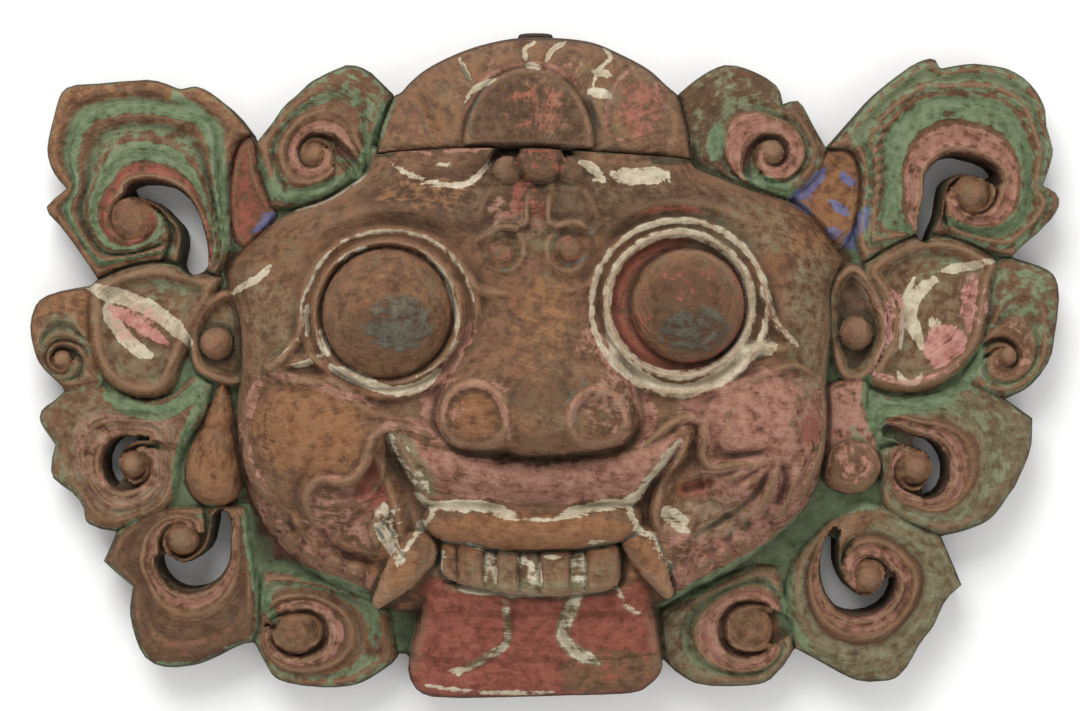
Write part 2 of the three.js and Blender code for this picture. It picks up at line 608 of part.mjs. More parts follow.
// a block whose top swells over the face and falls away at its sides and underside
function nose() {
  const { top, root, bridge, rise, sunk, sharp, round, shoulder, steps } = NOSE;
  const geometry = new THREE.BoxGeometry(2, 1, 1, steps, steps, 1);
  const { array } = geometry.attributes.position;
  const lowest = NOSE.half[0][0];
  for (let i = 0; i < array.length; i += 3) {
    const [across, up, level] = [array[i], array[i + 1] + 0.5, array[i + 2]];
    const x = NOSE.x + across * between(NOSE.half, lowest + up * (top - lowest));
    const under = between(NOSE.under, x);
    const y = under + up * (top - under);
    const base = heightOn(HEAD, x, y) - sunk;
    const full = bridge + rise * THREE.MathUtils.smoothstep(-y, -60, 24);
    const rounded = cap(1 - Math.min(1, (y - under) / shoulder));
    const lift = (1 - THREE.MathUtils.smoothstep(y, 46, top)) * rounded;
    const swell = Math.max(0, 1 - Math.abs(across) ** sharp) ** round;
    array[i] = x;
    array[i + 1] = y;
    array[i + 2] = level > 0 ? base + (full - base) * swell * lift : root;
  }
  return solidOf(geometry);
}

// a flattened ring that lies aslant on a wing of the nose
function nostril({ x, y, radius, z, slopes }) {
  const ring = new THREE.TorusGeometry(radius, NOSTRIL_RING.half, 5, 14).scale(1, 1, NOSTRIL_RING.flat);
  return solidOf(placed(ring, x, y, z, slopes));
}

// a small dome standing on the face
function onHead(x, y, r, rise, ry = r) {
  const place = { x, y, rim: heightOn(HEAD, x, y) - SUNK, slopes: slopesOn(HEAD, x, y) };
  return domeSolid({ ...place, rx: r, ry, rise: rise + SUNK }, 6);
}

function faceSolid() {
  const ground = together([
    domedPrism(rings.face, HEAD, 20),
    ...CHEEKS.map((dome) => domeSolid(dome, 12)),
    ...RIDGES.map(({ path, half, out }) => ridge(HEAD, path, half, out)),
  ]);
  const mouth = outline(MOUTH_RING);
  const corners = prism([[-200, MOUTH_CORNERS.y], [200, MOUTH_CORNERS.y], [200, 0], [-200, 0]], 0, TALLEST);
  const open = ground
    .subtract(prism(mouth, MOUTH_FLOOR, TALLEST).subtract(corners))
    .subtract(prism(mouth, MOUTH_CORNERS.floor, TALLEST));
  return together([
    open,
    domeSolid(GUM, 12),
    ...TOOTH_TOPS.map(tooth),
    ...FANGS.map(fang),
    ...EYES.flatMap(eye),
    nose(),
    ...NOSE_DOMES.map((dome) => domeSolid(dome, 12)),
    ...NOSTRILS.map(nostril),
    ...BEADS.map(([x, y, r, rise]) => onHead(x, y, r, rise)),
    ...FRINGE.map(([x, y]) => onHead(x, y, FRINGE_LEAF.rx, FRINGE_LEAF.rise, FRINGE_LEAF.ry)),
    ...['fringe_l', 'fringe_r'].map((name) => domedPrism(rings[name], BROW, 16)),
  ]);
}

function tongueSolid() {
  const top = prism(rings.tongue, 0, TALLEST).intersect(domeSolid(TONGUE, 16));
  const body = prism(rings.tongue, 0, TONGUE.edge).add(top);
  const root = prism([[-100, TONGUE_TOP], [100, TONGUE_TOP], [100, 0], [-100, 0]], BELOW, TALLEST);
  const veins = TONGUE_CUTS.map((points) => ridge(TONGUE, points, CUT, 0));
  return without(body, [root, ...veins]);
}

function maskSolid() {
  const leaves = [...Object.keys(LEAVES).map(plainLeaf), ...SCROLLS.map(scrollLeaf)];
  const balls = TEMPLE_BALLS.map((ball) => domeSolid(ball, 10));
  const body = together([prism(rings.web, 0, WEB), ...leaves, ...balls, faceSolid(), tongueSolid()]);
  const under = prism([[-400, -300], [400, -300], [400, 300], [-400, 300]], -100, 0);
  return without(body, [
    ...holes(), prism(grown(rings.crown, JOINT_GAP), BELOW, TALLEST), domeSolid(BOWL, 20), under,
  ]);
}

function crownSolid() {
  const arch = new THREE.EllipseCurve(ARCH.x, ARCH.y, ARCH.rx, ARCH.ry).getPoints(18).slice(0, -1);
  const raised = prism(arch.map((p) => [p.x, p.y]), 0, TALLEST)
    .intersect(domeSolid({ ...BROW, rim: BROW.rim + ARCH.lift }, 18))
    .intersect(prism(rings.crown, 0, TALLEST));
  const cuts = CROWN_CUTS.map((points) => ridge(BROW, points, CUT, 0));
  return without(domedPrism(rings.crown, BROW, 18).add(raised), cuts);
}

// a wire staple behind the top edge
function loopGeometry() {
  const arc = new THREE.EllipseCurve(LOOP.x, LOOP.y, LOOP.rx, LOOP.ry, 0, Math.PI).getPoints(LOOP.steps);
  return tube(arc.map((p) => [p.x, p.y, LOOP.z]), LOOP.wire, LOOP.sides, LOOP.steps);
}

function geometryOf(solid) {
  const mesh = solid.getMesh();
  const geometry = new THREE.BufferGeometry();
  geometry.setAttribute('position', new THREE.BufferAttribute(mesh.vertProperties, 3));
  geometry.setIndex(new THREE.BufferAttribute(mesh.triVerts, 1));
  return geometry;
}

function piece(name, geometry, color, roughness, metalness) {
  const mesh = new THREE.Mesh(geometry, new THREE.MeshStandardMaterial({ color, roughness, metalness }));
  mesh.name = name;
  return mesh;
}

const mask = new THREE.Group();
mask.add(piece('mask', geometryOf(maskSolid()), 0x7a5a42, 0.8, 0));
mask.add(piece('crown_block', geometryOf(crownSolid()), 0x7d5c48, 0.8, 0));
mask.add(piece('hanging_loop', loopGeometry(), 0x2a2624, 0.55, 0.8));

// the origin is under the middle of the whole mask
const bounds = new THREE.Box3().setFromObject(mask, true);
const middle = bounds.getCenter(new THREE.Vector3());
mask.position.set(-middle.x, -middle.y, 0);

export default mask;
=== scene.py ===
"""The looks of the barong mask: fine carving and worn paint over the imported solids, face up on a pale floor.

Lengths in the tables are millimetres in the carver's frame: x to the viewer's right, y to the top of the
head and z out of the face, from a point on the bridge of the nose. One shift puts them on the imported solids.
"""

import math

import bpy
import numpy as np
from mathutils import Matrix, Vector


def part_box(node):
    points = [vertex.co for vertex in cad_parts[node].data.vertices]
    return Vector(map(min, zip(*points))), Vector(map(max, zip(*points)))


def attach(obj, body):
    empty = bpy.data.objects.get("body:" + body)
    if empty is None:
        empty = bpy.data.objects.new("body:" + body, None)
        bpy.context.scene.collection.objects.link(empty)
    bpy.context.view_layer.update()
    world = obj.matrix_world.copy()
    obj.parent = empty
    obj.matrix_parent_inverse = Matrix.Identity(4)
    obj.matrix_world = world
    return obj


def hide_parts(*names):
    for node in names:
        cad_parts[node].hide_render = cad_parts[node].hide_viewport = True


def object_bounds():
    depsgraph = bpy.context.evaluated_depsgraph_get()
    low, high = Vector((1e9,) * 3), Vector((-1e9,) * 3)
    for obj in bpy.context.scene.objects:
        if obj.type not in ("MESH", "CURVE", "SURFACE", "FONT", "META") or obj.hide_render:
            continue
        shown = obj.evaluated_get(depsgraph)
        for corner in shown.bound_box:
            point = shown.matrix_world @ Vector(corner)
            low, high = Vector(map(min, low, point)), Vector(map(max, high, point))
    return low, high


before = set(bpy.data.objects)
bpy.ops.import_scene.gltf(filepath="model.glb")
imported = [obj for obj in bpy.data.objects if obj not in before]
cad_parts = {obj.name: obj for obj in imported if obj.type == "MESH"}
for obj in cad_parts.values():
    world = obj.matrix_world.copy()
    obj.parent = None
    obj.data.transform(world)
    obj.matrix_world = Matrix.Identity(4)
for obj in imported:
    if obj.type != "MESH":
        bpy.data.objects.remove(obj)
cad_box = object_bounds()

MM = 0.001
STEP = 1.3  # spacing of the points that carry the carving
MOST_TRIANGLES = 192000
JOINT_GAP = 0.3  # the open seam between the head and the crown block
FAR_DOWN = -60  # a level under everything, for a form that ends
FAR_OUT = -99  # a depth well outside every outline


# Closed outlines of the leaves and the face: (x, y) on a curve, (x, y, 1) at a corner.
OUTLINES = {
    "web": [(-196, 149), (-150, 168), (-104, 180), (0, 200), (90, 181), (150, 165), (191, 145), (215, 100),
        (300, 82), (316, 72), (302, 40), (302, 0), (312, -24), (290, -60), (268, -116), (240, -150),
        (170, -192), (120, -188), (79, -194), (0, -200), (-99, -197), (-150, -188), (-197, -187),
        (-250, -160), (-279, -150), (-272, -130), (-290, -113), (-300, -60), (-326, -19), (-310, 20),
        (-304, 58), (-260, 80), (-215, 110)],
    "scroll_1l": [(-199, 156, 1), (-210, 170), (-220, 179), (-230, 186), (-238, 188.5), (-248, 187),
        (-262, 192), (-276, 193), (-305, 190.5), (-320, 189.5), (-329, 184), (-334, 168), (-338.5, 146),
        (-334, 130), (-325, 119, 1), (-337, 109), (-338, 103), (-328, 92), (-312, 70), (-304, 58, 1),
        (-285, 66), (-262, 70), (-240, 66), (-222, 60, 1), (-213, 78), (-214, 100), (-214, 130),
        (-208, 150)],
    "sliver_l": [(-200, 156, 1), (-208, 150), (-214, 130), (-215, 105), (-212, 86), (-204, 75, 1),
        (-190, 88), (-181, 101), (-186, 112), (-194, 130), (-196, 150, 1)],
    "scroll_2l": [(-196, 150, 1), (-184, 165), (-178, 174), (-168, 183), (-158, 192), (-142, 200),
        (-132, 203), (-120, 199), (-110, 190), (-102, 182, 1), (-107, 165), (-114, 149), (-117, 135, 1),
        (-130, 123), (-150, 111), (-170, 106), (-186, 106, 1), (-190, 125)],
    "ear_l": [(-311, 52, 1), (-311, 30), (-309, 8), (-301, -9), (-287, -20), (-270, -24), (-254, -19),
        (-245, 0), (-237, 17), (-222, 44), (-218, 59, 1), (-240, 65), (-262, 70), (-285, 66),
        (-304, 58, 1)],
    "temple_l": [(-240, 12), (-238, 30), (-222, 48), (-208, 48), (-200, 30), (-200, 0), (-206, -14),
        (-222, -12), (-236, -4)],
    "scroll_3l": [(-306, 54, 1), (-325, 50.5), (-338, 47), (-346, 41), (-350, 30), (-350, 18), (-344, 0),
        (-330, -14), (-327, -19, 1), (-312, -22), (-298, -12), (-306, 10), (-308, 35)],
    "scroll_4l": [(-327, -19, 1), (-335, -26), (-342, -31), (-343, -40), (-333, -55, 1), (-336, -68),
        (-334, -78), (-320, -89), (-313.5, -98, 1), (-312, -107), (-303, -112), (-291, -114, 1),
        (-275, -108), (-258, -101), (-249, -86), (-247, -65), (-240, -50), (-230, -35), (-225, -14, 1),
        (-238, -8), (-252, -20), (-270, -25), (-290, -20), (-305, -12, 1)],
    "bead_l": [(-216, -12), (-208, -40), (-204, -70), (-206, -88), (-216, -97), (-232, -97), (-243, -86),
        (-244, -68), (-238, -50), (-228, -30), (-222, -14)],
    "scroll_5l": [(-291, -114, 1), (-297, -128), (-300, -134, 1), (-290, -143), (-280, -151, 1),
        (-282, -170), (-277, -190), (-270, -201), (-258, -206), (-240, -205), (-225, -200), (-207, -191),
        (-198, -189, 1), (-194, -175), (-195, -150), (-199, -120), (-203, -97, 1), (-216, -96), (-240, -97),
        (-262, -99), (-280, -107)],
    "scroll_6l": [(-198, -189, 1), (-190, -204), (-181, -215), (-155, -220), (-128, -218), (-107, -206),
        (-100, -199, 1), (-103, -180), (-108, -163), (-125, -152), (-150, -146), (-175, -141),
        (-192, -141, 1), (-195, -165)],
    "tongue": [(-80, -140, 1), (-84, -175), (-92, -200), (-91, -214), (-82, -224), (-62, -226.5),
        (-20, -225.7), (20, -224.5), (58, -223), (71, -217), (79, -206), (77, -190), (72, -165),
        (66, -140, 1)],
    "scroll_2r": [(90, 182.5, 1), (100, 191), (112, 199), (124, 203), (138, 200), (152, 193), (159, 186),
        (161.5, 176, 1), (168, 178.5), (174, 176.5), (183, 160), (191, 146, 1), (185, 128), (166, 111, 1),
        (140, 117), (118, 125), (99, 133, 1), (95, 152)],
    "almond_r": [(191, 146, 1), (204, 147), (213, 137), (216, 118), (213, 100), (207, 84), (199, 76, 1),
        (188, 90), (170, 108), (164, 117), (174, 130)],
    "scroll_1r": [(191, 146, 1), (206, 163), (225, 184), (245, 200), (256, 206), (264, 207),
        (268.5, 200.5, 1), (285, 203.5), (297, 203.5), (315, 200), (330, 190), (339, 175), (341, 160),
        (345, 145), (342, 132), (338, 121, 1), (347, 116), (349, 107), (340, 94), (325, 81), (317, 73, 1),
        (300, 77), (275, 86), (255, 88), (235, 80), (216, 69, 1), (211, 85), (213, 110), (214, 130),
        (208, 144)],
    "ear_r": [(216, 69, 1), (235, 82), (255, 88), (280, 86), (300, 76), (309, 67, 1), (304, 50), (300, 22),
        (289, 1), (264, -17), (240, -20), (221, -15), (217, -7), (222, 5), (229, 17), (230, 30), (224, 45),
        (216, 58)],
    "hollow_r": [(192, 20), (191, 45), (199, 62), (212, 66), (226, 48), (232, 25), (228, 5), (216, -10),
        (200, -8)],
    "scroll_3r": [(316, 73, 1), (338, 66), (347, 59), (350, 45), (347, 20), (343, 2), (330, -15),
        (313, -24, 1), (297, -22), (282, -14), (289, 0), (298, 20), (301, 50), (306, 68)],
    "lobe_r": [(190, -14), (217, -9), (221, -30), (227, -50), (229, -70), (217, -87), (198, -87),
        (187, -76), (185, -50), (186, -25)],
    "scroll_4r": [(313, -24, 1), (331.5, -37, 1), (330, -58), (321, -80), (316, -88), (303, -105),
        (286, -113), (269, -117, 1), (255, -112), (240, -105), (229, -95), (227, -70), (223, -50),
        (218, -35), (219, -17, 1), (240, -23), (265, -20), (285, -12, 1)],
    "scroll_5r": [(269, -117, 1), (278, -138), (283, -150, 1), (272, -161), (264, -178), (255, -190),
        (245, -207), (234, -215), (212, -215), (190, -204), (170, -193, 1), (167, -178), (163, -160),
        (166, -140), (178, -121), (196, -104), (215, -93, 1), (232, -98), (250, -109)],
    "scroll_6r": [(170, -193, 1), (160, -208), (145, -218), (108, -218.5), (90, -210), (78, -198, 1),
        (74, -180), (77, -167, 1), (95, -156), (120, -145), (142, -136), (157, -137, 1), (163, -152),
        (167, -172)],
    "face": [(-118, 146, 1), (-119, 129), (-135, 116), (-150, 108), (-168, 103), (-184, 95), (-200, 82),
        (-214, 72), (-218, 60), (-213, 47), (-206, 30), (-204, 5), (-205, -12), (-208, -35), (-207, -60),
        (-203, -85), (-195, -106), (-181, -126), (-165, -139), (-145, -150), (-120, -160), (-100, -167),
        (-60, -168), (40, -168), (75, -165), (100, -151), (130, -136), (155, -118), (171, -103), (181, -87),
        (187, -68), (189, -40), (188, -12), (192, 20), (192, 48), (199, 62), (206, 70), (197, 83),
        (180, 102), (165, 110), (140, 117), (118, 125), (100, 133), (99, 146, 1)],
    "fringe_l": [(-112, 150, 1), (-105, 135), (-90, 125), (-70, 119), (-55, 118.5), (-47, 121.5),
        (-38, 133), (-28, 150, 1)],
    "fringe_r": [(12, 150, 1), (22, 134), (30, 124), (42, 120), (60, 119), (78, 123), (90, 130),
        (99, 150, 1)],
    "crown": [(-102, 182, 1), (-97, 184), (-91, 191), (-80, 200), (-62, 209), (-42, 216), (-18, 220.5),
        (8, 220.5), (32, 218), (52, 209.5), (70, 200), (82, 189), (90, 182.5, 1), (94, 168), (97, 150),
        (98, 137, 1), (40, 140), (-10, 142.5), (-60, 143), (-113, 141, 1), (-110, 160)],
}

# Each scroll turns round its eye. knob: (radius, height); top: level of the leaf; pierced: the share of the
# groove's length that is cut right through; groove: (angle, distance from the eye, half width); across:
# (share of the way from the groove to the edge, height); paint: (colour, from, to, cover) over that share.
SCROLLS = {
    "scroll_1l": {
        "eye": (-279, 97), "knob": (17, 7), "top": 50, "pierced": (0, 0.55),
        "groove": [(-34, 49, 11), (-7, 39.8, 8), (20, 31.5, 9.5), (60, 23.5, 7), (90, 20.5, 5),
            (114, 17.5, 1.5), (160, 16, 1), (250, 13, 0.8), (340, 9, 0.6)],
        "across": [(0, -6), (0.06, -1), (0.17, -3), (0.3, 0), (0.38, 3), (0.46, 0), (0.56, -4), (0.66, 2),
            (0.72, 3.5), (0.8, -3), (0.9, 1), (1, 0)],
        "paint": [("red", 0, 0.24, 0.5), ("pink", 0.02, 0.2, 0.46), ("green", 0.24, 0.44, 0.72),
            ("green", 0.44, 0.6, 0.5), ("cream", 0.62, 0.64, 0.52), ("green", 0.66, 0.82, 0.76),
            ("green", 0.82, 1, 0.34), ("amber", 0.84, 1, 0.6), ("film", 0.24, 1, 0.4)],
    },
    "scroll_2l": {
        "eye": (-156, 142), "knob": (8, 5), "top": 50, "pierced": None,
        "groove": [(-22, 28, 6), (0, 17, 6), (30, 15, 4), (60, 13.5, 2.5), (90, 12.5, 2), (135, 11, 1.5),
            (180, 10.5, 1.4), (230, 10, 1.2), (290, 8, 1), (350, 6, 0.6)],
        "across": [(0, -3), (0.1, 1.5), (0.25, -1), (0.42, 3), (0.5, 1), (0.62, -3), (0.8, 1.5), (1, 0)],
        "paint": [("pink", 0, 0.26, 0.78), ("pink", 0.4, 0.46, 0.6), ("green", 0.5, 1, 0.48),
            ("umber", 0.48, 0.7, 0.46), ("film", 0.4, 1, 0.3)],
    },
    "scroll_3l": {
        "eye": (-328, 3), "knob": (6.5, 4), "top": 46, "pierced": None,
        "groove": [(15, 18, 1.2), (60, 14, 1.4), (100, 13, 1.4), (150, 12, 1.4), (200, 11, 1.3),
            (260, 10, 1.2), (330, 8, 0.8)],
        "across": [(0, -3), (0.18, 1.5), (0.36, -3), (0.5, 2), (0.75, 1), (1, 0)],
        "paint": [("green", 0, 0.4, 0.54), ("film", 0, 0.6, 0.7), ("amber", 0.5, 1, 0.55)],
    },
    "scroll_4l": {
        "eye": (-279, -68), "knob": (10.5, 7), "top": 48, "pierced": (0.1, 0.55),
        "groove": [(60, 20, 1.5), (93, 17, 2.2), (130, 16.5, 5), (180, 15.5, 5.8), (220, 15.5, 5.8),
            (250, 15.5, 3.8), (275, 15, 1.6), (330, 13, 1), (400, 9, 0.6)],
        "across": [(0, -5), (0.1, 0), (0.3, -1.5), (0.4, 2), (0.55, -2), (0.75, 1.5), (1, 0)],
        "paint": [("pink", 0.02, 0.62, 0.6), ("amber", 0.6, 1, 0.46), ("green", 0.72, 1, 0.46),
            ("film", 0.1, 1, 0.5)],
    },
    "scroll_5l": {
        "eye": (-245, -118), "knob": (12.5, 8), "top": 50, "pierced": (0, 0.68),
        "groove": [(28, 29, 5.5), (14, 27, 7), (-5, 25, 7.5), (-45, 26, 11), (-90, 26, 10.5),
            (-130, 20.5, 6), (-150, 17, 2), (-200, 13.5, 1), (-290, 9, 0.6)],
        "across": [(0, -6), (0.07, 0), (0.2, -2), (0.36, 3), (0.46, 0), (0.65, -2), (0.82, 1.5), (1, 0)],
        "paint": [("pink", 0.02, 0.28, 0.6), ("umber", 0.4, 0.7, 0.56), ("umber", 0.72, 1, 0.62),
            ("cream", 0.35, 0.37, 0.5), ("cream", 0.7, 0.72, 0.48), ("green", 0.9, 1, 0.5)],
    },
    "scroll_6l": {
        "eye": (-169, -183), "knob": (15, 4), "top": 46, "pierced": None,
        "groove": [(150, 19, 1.5), (100, 14, 2), (60, 17, 2.2), (20, 20, 2.5), (-20, 19, 2.8),
            (-60, 15, 2.8), (-110, 14, 2.6), (-150, 17, 2), (-178, 17, 1)],
        "across": [(0, -4), (0.12, 1), (0.3, -1), (0.42, 3), (0.55, -1), (0.7, -3), (0.85, 1), (1, 0)],
        "paint": [("pink", 0, 0.3, 0.62), ("umber", 0.3, 0.6, 0.48), ("green", 0.6, 1, 0.5),
            ("film", 0.4, 1, 0.4)],
    },
    "scroll_1r": {
        "eye": (288, 115), "knob": (14, 8), "top": 52, "pierced": (0, 0.62),
        "groove": [(222, 42, 5), (216, 37.5, 6.2), (203, 29, 7), (180, 24.5, 6.5), (150, 25, 8),
            (120, 23, 8), (90, 19.5, 6.5), (50, 19.5, 6), (25, 20, 4), (8, 18.5, 1.4), (-60, 15, 1),
            (-150, 10, 0.6)],
        "across": [(0, -6), (0.07, 0), (0.2, -2), (0.35, 1), (0.42, 4), (0.5, 0), (0.62, -4), (0.7, 0),
            (0.76, 3), (0.86, -2.5), (0.94, 1), (1, 0)],
        "paint": [("pink", 0, 0.36, 0.62), ("green", 0.38, 0.66, 0.72), ("green", 0.68, 1, 0.56),
            ("film", 0.68, 1, 0.4)],
    },
    "scroll_2r": {
        "eye": (153, 143), "knob": (8, 5), "top": 50, "pierced": None,
        "groove": [(222, 19, 5), (185, 13.5, 4.5), (140, 11.5, 3), (90, 10.5, 2.5), (45, 10.5, 2.2),
            (0, 10.5, 2), (-45, 10, 1.5), (-95, 8.5, 1), (-150, 6, 0.6)],
        "across": [(0, -3), (0.14, 1.5), (0.3, 0), (0.42, 2.5), (0.5, -2.5), (0.7, 1), (0.85, -1), (1, 0)],
        "paint": [("pink", 0, 0.42, 0.78), ("umber", 0.42, 1, 0.6), ("green", 0.46, 1, 0.4),
            ("film", 0.44, 1, 0.5)],
    },
    "scroll_3r": {
        "eye": (313, 5), "knob": (7.5, 3), "top": 47, "pierced": None,
        "groove": [(150, 15, 3), (110, 12, 3), (60, 9.5, 2.5), (0, 8.5, 2), (-50, 8, 1.5), (-100, 7, 1),
            (-160, 5, 0.6)],
        "across": [(0, -3), (0.2, 1), (0.4, 1.5), (0.5, -2), (0.7, 2), (0.85, -1), (1, 0)],
        "paint": [("pink", 0, 0.42, 0.54), ("green", 0.46, 1, 0.5), ("film", 0.3, 1, 0.5)],
    },
    "scroll_4r": {
        "eye": (250, -70), "knob": (13, 8), "top": 49, "pierced": (0.18, 0.62),
        "groove": [(126, 30, 4.5), (105, 20, 4.5), (80, 17, 4.2), (55, 17.5, 4.8), (0, 18, 6),
            (-38, 19, 6.6), (-65, 18.5, 4.5), (-86, 17.5, 1.5), (-140, 15, 1), (-230, 10, 0.6)],
        "across": [(0, -5), (0.12, 0.5), (0.25, -2), (0.36, 2.5), (0.45, 0), (0.6, -2), (0.8, 1.5), (1, 0)],
        "paint": [("pink", 0, 0.3, 0.62), ("umber", 0.3, 0.5, 0.5), ("green", 0.5, 1, 0.42),
            ("umber", 0.5, 1, 0.5), ("film", 0.44, 1, 0.75)],
    },
    "scroll_5r": {
        "eye": (218, -144), "knob": (12.5, 8), "top": 50, "pierced": (0.04, 0.7),
        "groove": [(126, 37, 3.5), (140, 32, 5.2), (155, 28, 6), (190, 23, 8), (235, 21, 8.5),
            (270, 19.5, 6.5), (325, 17, 5.5), (360, 15.5, 4.2), (380, 14.5, 1.5), (440, 12.5, 1),
            (530, 8, 0.6)],
        "across": [(0, -6), (0.1, 1), (0.22, -1.5), (0.36, 2.5), (0.48, -2), (0.7, 1.5), (0.85, -1),
            (1, 0)],
        "paint": [("pink", 0, 0.28, 0.62), ("umber", 0.3, 0.6, 0.48), ("green", 0.6, 1, 0.44),
            ("film", 0.5, 1, 0.85)],
    },
    "scroll_6r": {
        "eye": (139, -180), "knob": (16, 4), "top": 46, "pierced": None,
        "groove": [(50, 20, 1.5), (90, 18, 2), (135, 19, 2.5), (180, 19, 2.8), (225, 19, 2.8),
            (270, 17, 2.6), (312, 18, 1.2)],
        "across": [(0, -4), (0.12, 1), (0.3, -1), (0.42, 3), (0.55, -2), (0.75, 1.5), (1, 0)],
        "paint": [("pink", 0, 0.42, 0.68), ("green", 0.46, 0.7, 0.56), ("umber", 0.7, 0.9, 0.46),
            ("film", 0.4, 1, 0.7)],
    },
}

# A groove's depth and how deep its knob starts, on a pierced leaf and on a whole one.
PIERCED = (26, 14)
WHOLE = (8, 6)
SLOT_SHARE = 0.86  # the share of a pierced groove's width that is cut through
SLOT_LEAST = 1.2  # the half width where the cut starts
LEAN = 0.035  # how far the leaves lean back, from LEAN_FROM outwards
LEAN_FROM = 190

# Plain leaves: level, drop at the edge, width of the edge, hollow inside it as (depth, from, to), paint.
LEAVES = {
    "web": (38, 2, 6, None, ("green", 0.72)),
    "sliver_l": (44, 10, 7, (3, 4, 8), ("red", 0.46)),
    "ear_l": (54, 20, 12, (9, 6, 16), ("film", 0.52)),
    "temple_l": (52, 6, 6, (8, 2, 10), ("film", 0.4)),
    "bead_l": (46, 12, 12, None, ("amber", 0.66)),
    "almond_r": (46, 10, 9, (3, 5, 10), ("amber", 0.6)),
    "ear_r": (54, 18, 12, (9, 6, 16), ("film", 0.5)),
    "hollow_r": (50, 4, 5, (14, 2, 12), ("film", 0.5)),
    "lobe_r": (50, 14, 10, None, ("pink", 0.6)),
}
# Balls on the leaves: leaf, centre, half sizes, height.
BALLS = [
    ("bead_l", (-223, -70), (22, 28), 15), ("bead_l", (-220, -40), (12, 30), 6),
    ("temple_l", (-222, 14), (11.5, 11.5), 20), ("hollow_r", (211, 21), (12, 12), 18),
    ("lobe_r", (208, -70), (20, 18), 12),
]
# Domes over the flat back: height of the rim, rise of the middle, centre, half sizes.
HEAD_DOME = (44, 70, (-5, -2), (226, 192))
CROWN_DOME = (36, 64, (-6, 92), (134, 134))
# The swollen cheeks: rise, centre, half sizes.
CHEEKS = [(20, (-153, -58), (50, 52)), (18, (143, -56), (45, 50))]
# Eyes: the ball (x, y, half size), its two carved rings (x, y, half sizes), and the ridges of its corner.
EYES = [
    {
        "ball": (-104, 33, 43.5), "outer": (-103, 34, 58.5, 55), "inner": (-104, 34, 48, 46.5),
        "tail": [(-161, 28), (-165, 15), (-172, 6), (-184, -2)],
        "low": [(-141, -2), (-152, 3), (-166, 2), (-181, -3)],
    },
    {
        "ball": (94, 38.5, 38), "outer": (88.5, 38, 58.5, 57), "inner": (88.5, 39.5, 48, 47),
        "tail": [(143, 52), (147, 40), (153, 27), (167, 12)],
        "low": [(127, 5), (138, 10), (150, 10), (164, 11)],
    },
]
EYE_RINGS = {"outer": (6, 3.2), "inner": (7, 3.6)}  # height and width of each ring
BALL_SINK = 8  # how far the eyeballs start below the face
BALL_RISE = 30
# Ridges (+) and creases (-) carved on the face: points, half width, height.
RIDGES = [
    # left cheek: its upper and outer rims, the curl, the creases beside it, the fold to the lip, furrows
    ([(-186, -1), (-172, -8), (-159, -10), (-140, -12), (-128, -21), (-115, -29), (-97, -35)], 6, 6),
    ([(-182, -10), (-168, -17), (-150, -19), (-134, -26)], 5, -3),
    ([(-190, -10), (-199, -31), (-201, -53), (-196, -71), (-188, -84), (-176, -96)], 7, 6),
    ([(-104, -42), (-112, -46), (-115, -55), (-118, -66), (-126, -75), (-135, -77), (-146, -75),
        (-154, -81), (-157, -91), (-153, -103)], 5, 8),
    ([(-109, -60), (-113, -72), (-121, -83), (-132, -86), (-143, -84)], 7, -6),
    ([(-154, -68), (-163, -78), (-166, -92), (-160, -106)], 6, -5),
    ([(-152, -108), (-143, -119), (-132, -127), (-114, -132)], 6, -7),
    ([(-168, -98), (-162, -112), (-150, -124)], 5, 5),
    ([(-60, -58), (-72, -48), (-88, -41), (-104, -41)], 7, 6),
    ([(-106, -95), (-114, -108), (-110, -124)], 6, 5),
    # right cheek: the wavy rim, a step below it, folds that spread down, the outer rim
    ([(60, -56), (76, -43), (87, -36), (97, -35), (103, -40), (104, -51), (103, -60), (108, -67),
        (118, -67), (144, -61)], 5, 8), ([(112, -48), (115, -58), (125, -60), (148, -57)], 5, -6),
    ([(98, -50), (94, -62), (84, -76)], 5, -5),
    ([(92, -50), (86, -62), (76, -76), (72, -92), (72, -106)], 5, 6),
    ([(112, -74), (102, -80), (88, -84)], 6, -6), ([(148, -62), (132, -69), (116, -78)], 4, 5),
    ([(149, -64), (136, -76), (120, -86)], 4, 4),
    ([(150, -66), (142, -80), (132, -92), (116, -104), (100, -114)], 5, -6),
    ([(151, -66), (147, -84), (140, -102)], 6, 6), ([(155, -64), (159, -76), (154, -92)], 5, -6),
    ([(186, -12), (189, -30), (186, -56), (176, -76), (168, -96)], 6, 7),
    ([(170, -66), (163, -84), (158, -98)], 5, 5), ([(100, -92), (96, -106), (88, -122)], 7, 5),
    ([(170, -18), (162, -34), (166, -50)], 6, 4),
    ([(186, -12), (165, -1), (140, -9), (118, -16), (98, -22)], 5, 5),
    ([(124, -26), (118, -36), (122, -48)], 6, 4),
    # the forehead ornament, the brows, the creases between the tip of the nose and its wings
    ([(-10, 118), (-12, 104), (-14, 92), (-30, 88), (-45, 80)], 5, 6),
    ([(4, 118), (2, 104), (4, 92), (20, 94), (32, 88)], 5, 6),
    ([(-52, 58), (-44, 50), (-28, 46), (-12, 52), (-8, 66)], 5, 6),
    ([(34, 60), (28, 52), (14, 48), (2, 54), (-2, 66)], 5, 6), ([(-32, 118), (-40, 108), (-46, 92)], 6, 4),
    ([(22, 118), (30, 108), (36, 92)], 6, 4),
    ([(-160, 84), (-130, 100), (-98, 104), (-66, 98), (-46, 84)], 9, 4),
    ([(36, 86), (56, 100), (88, 106), (122, 102), (150, 86)], 9, 4),
]
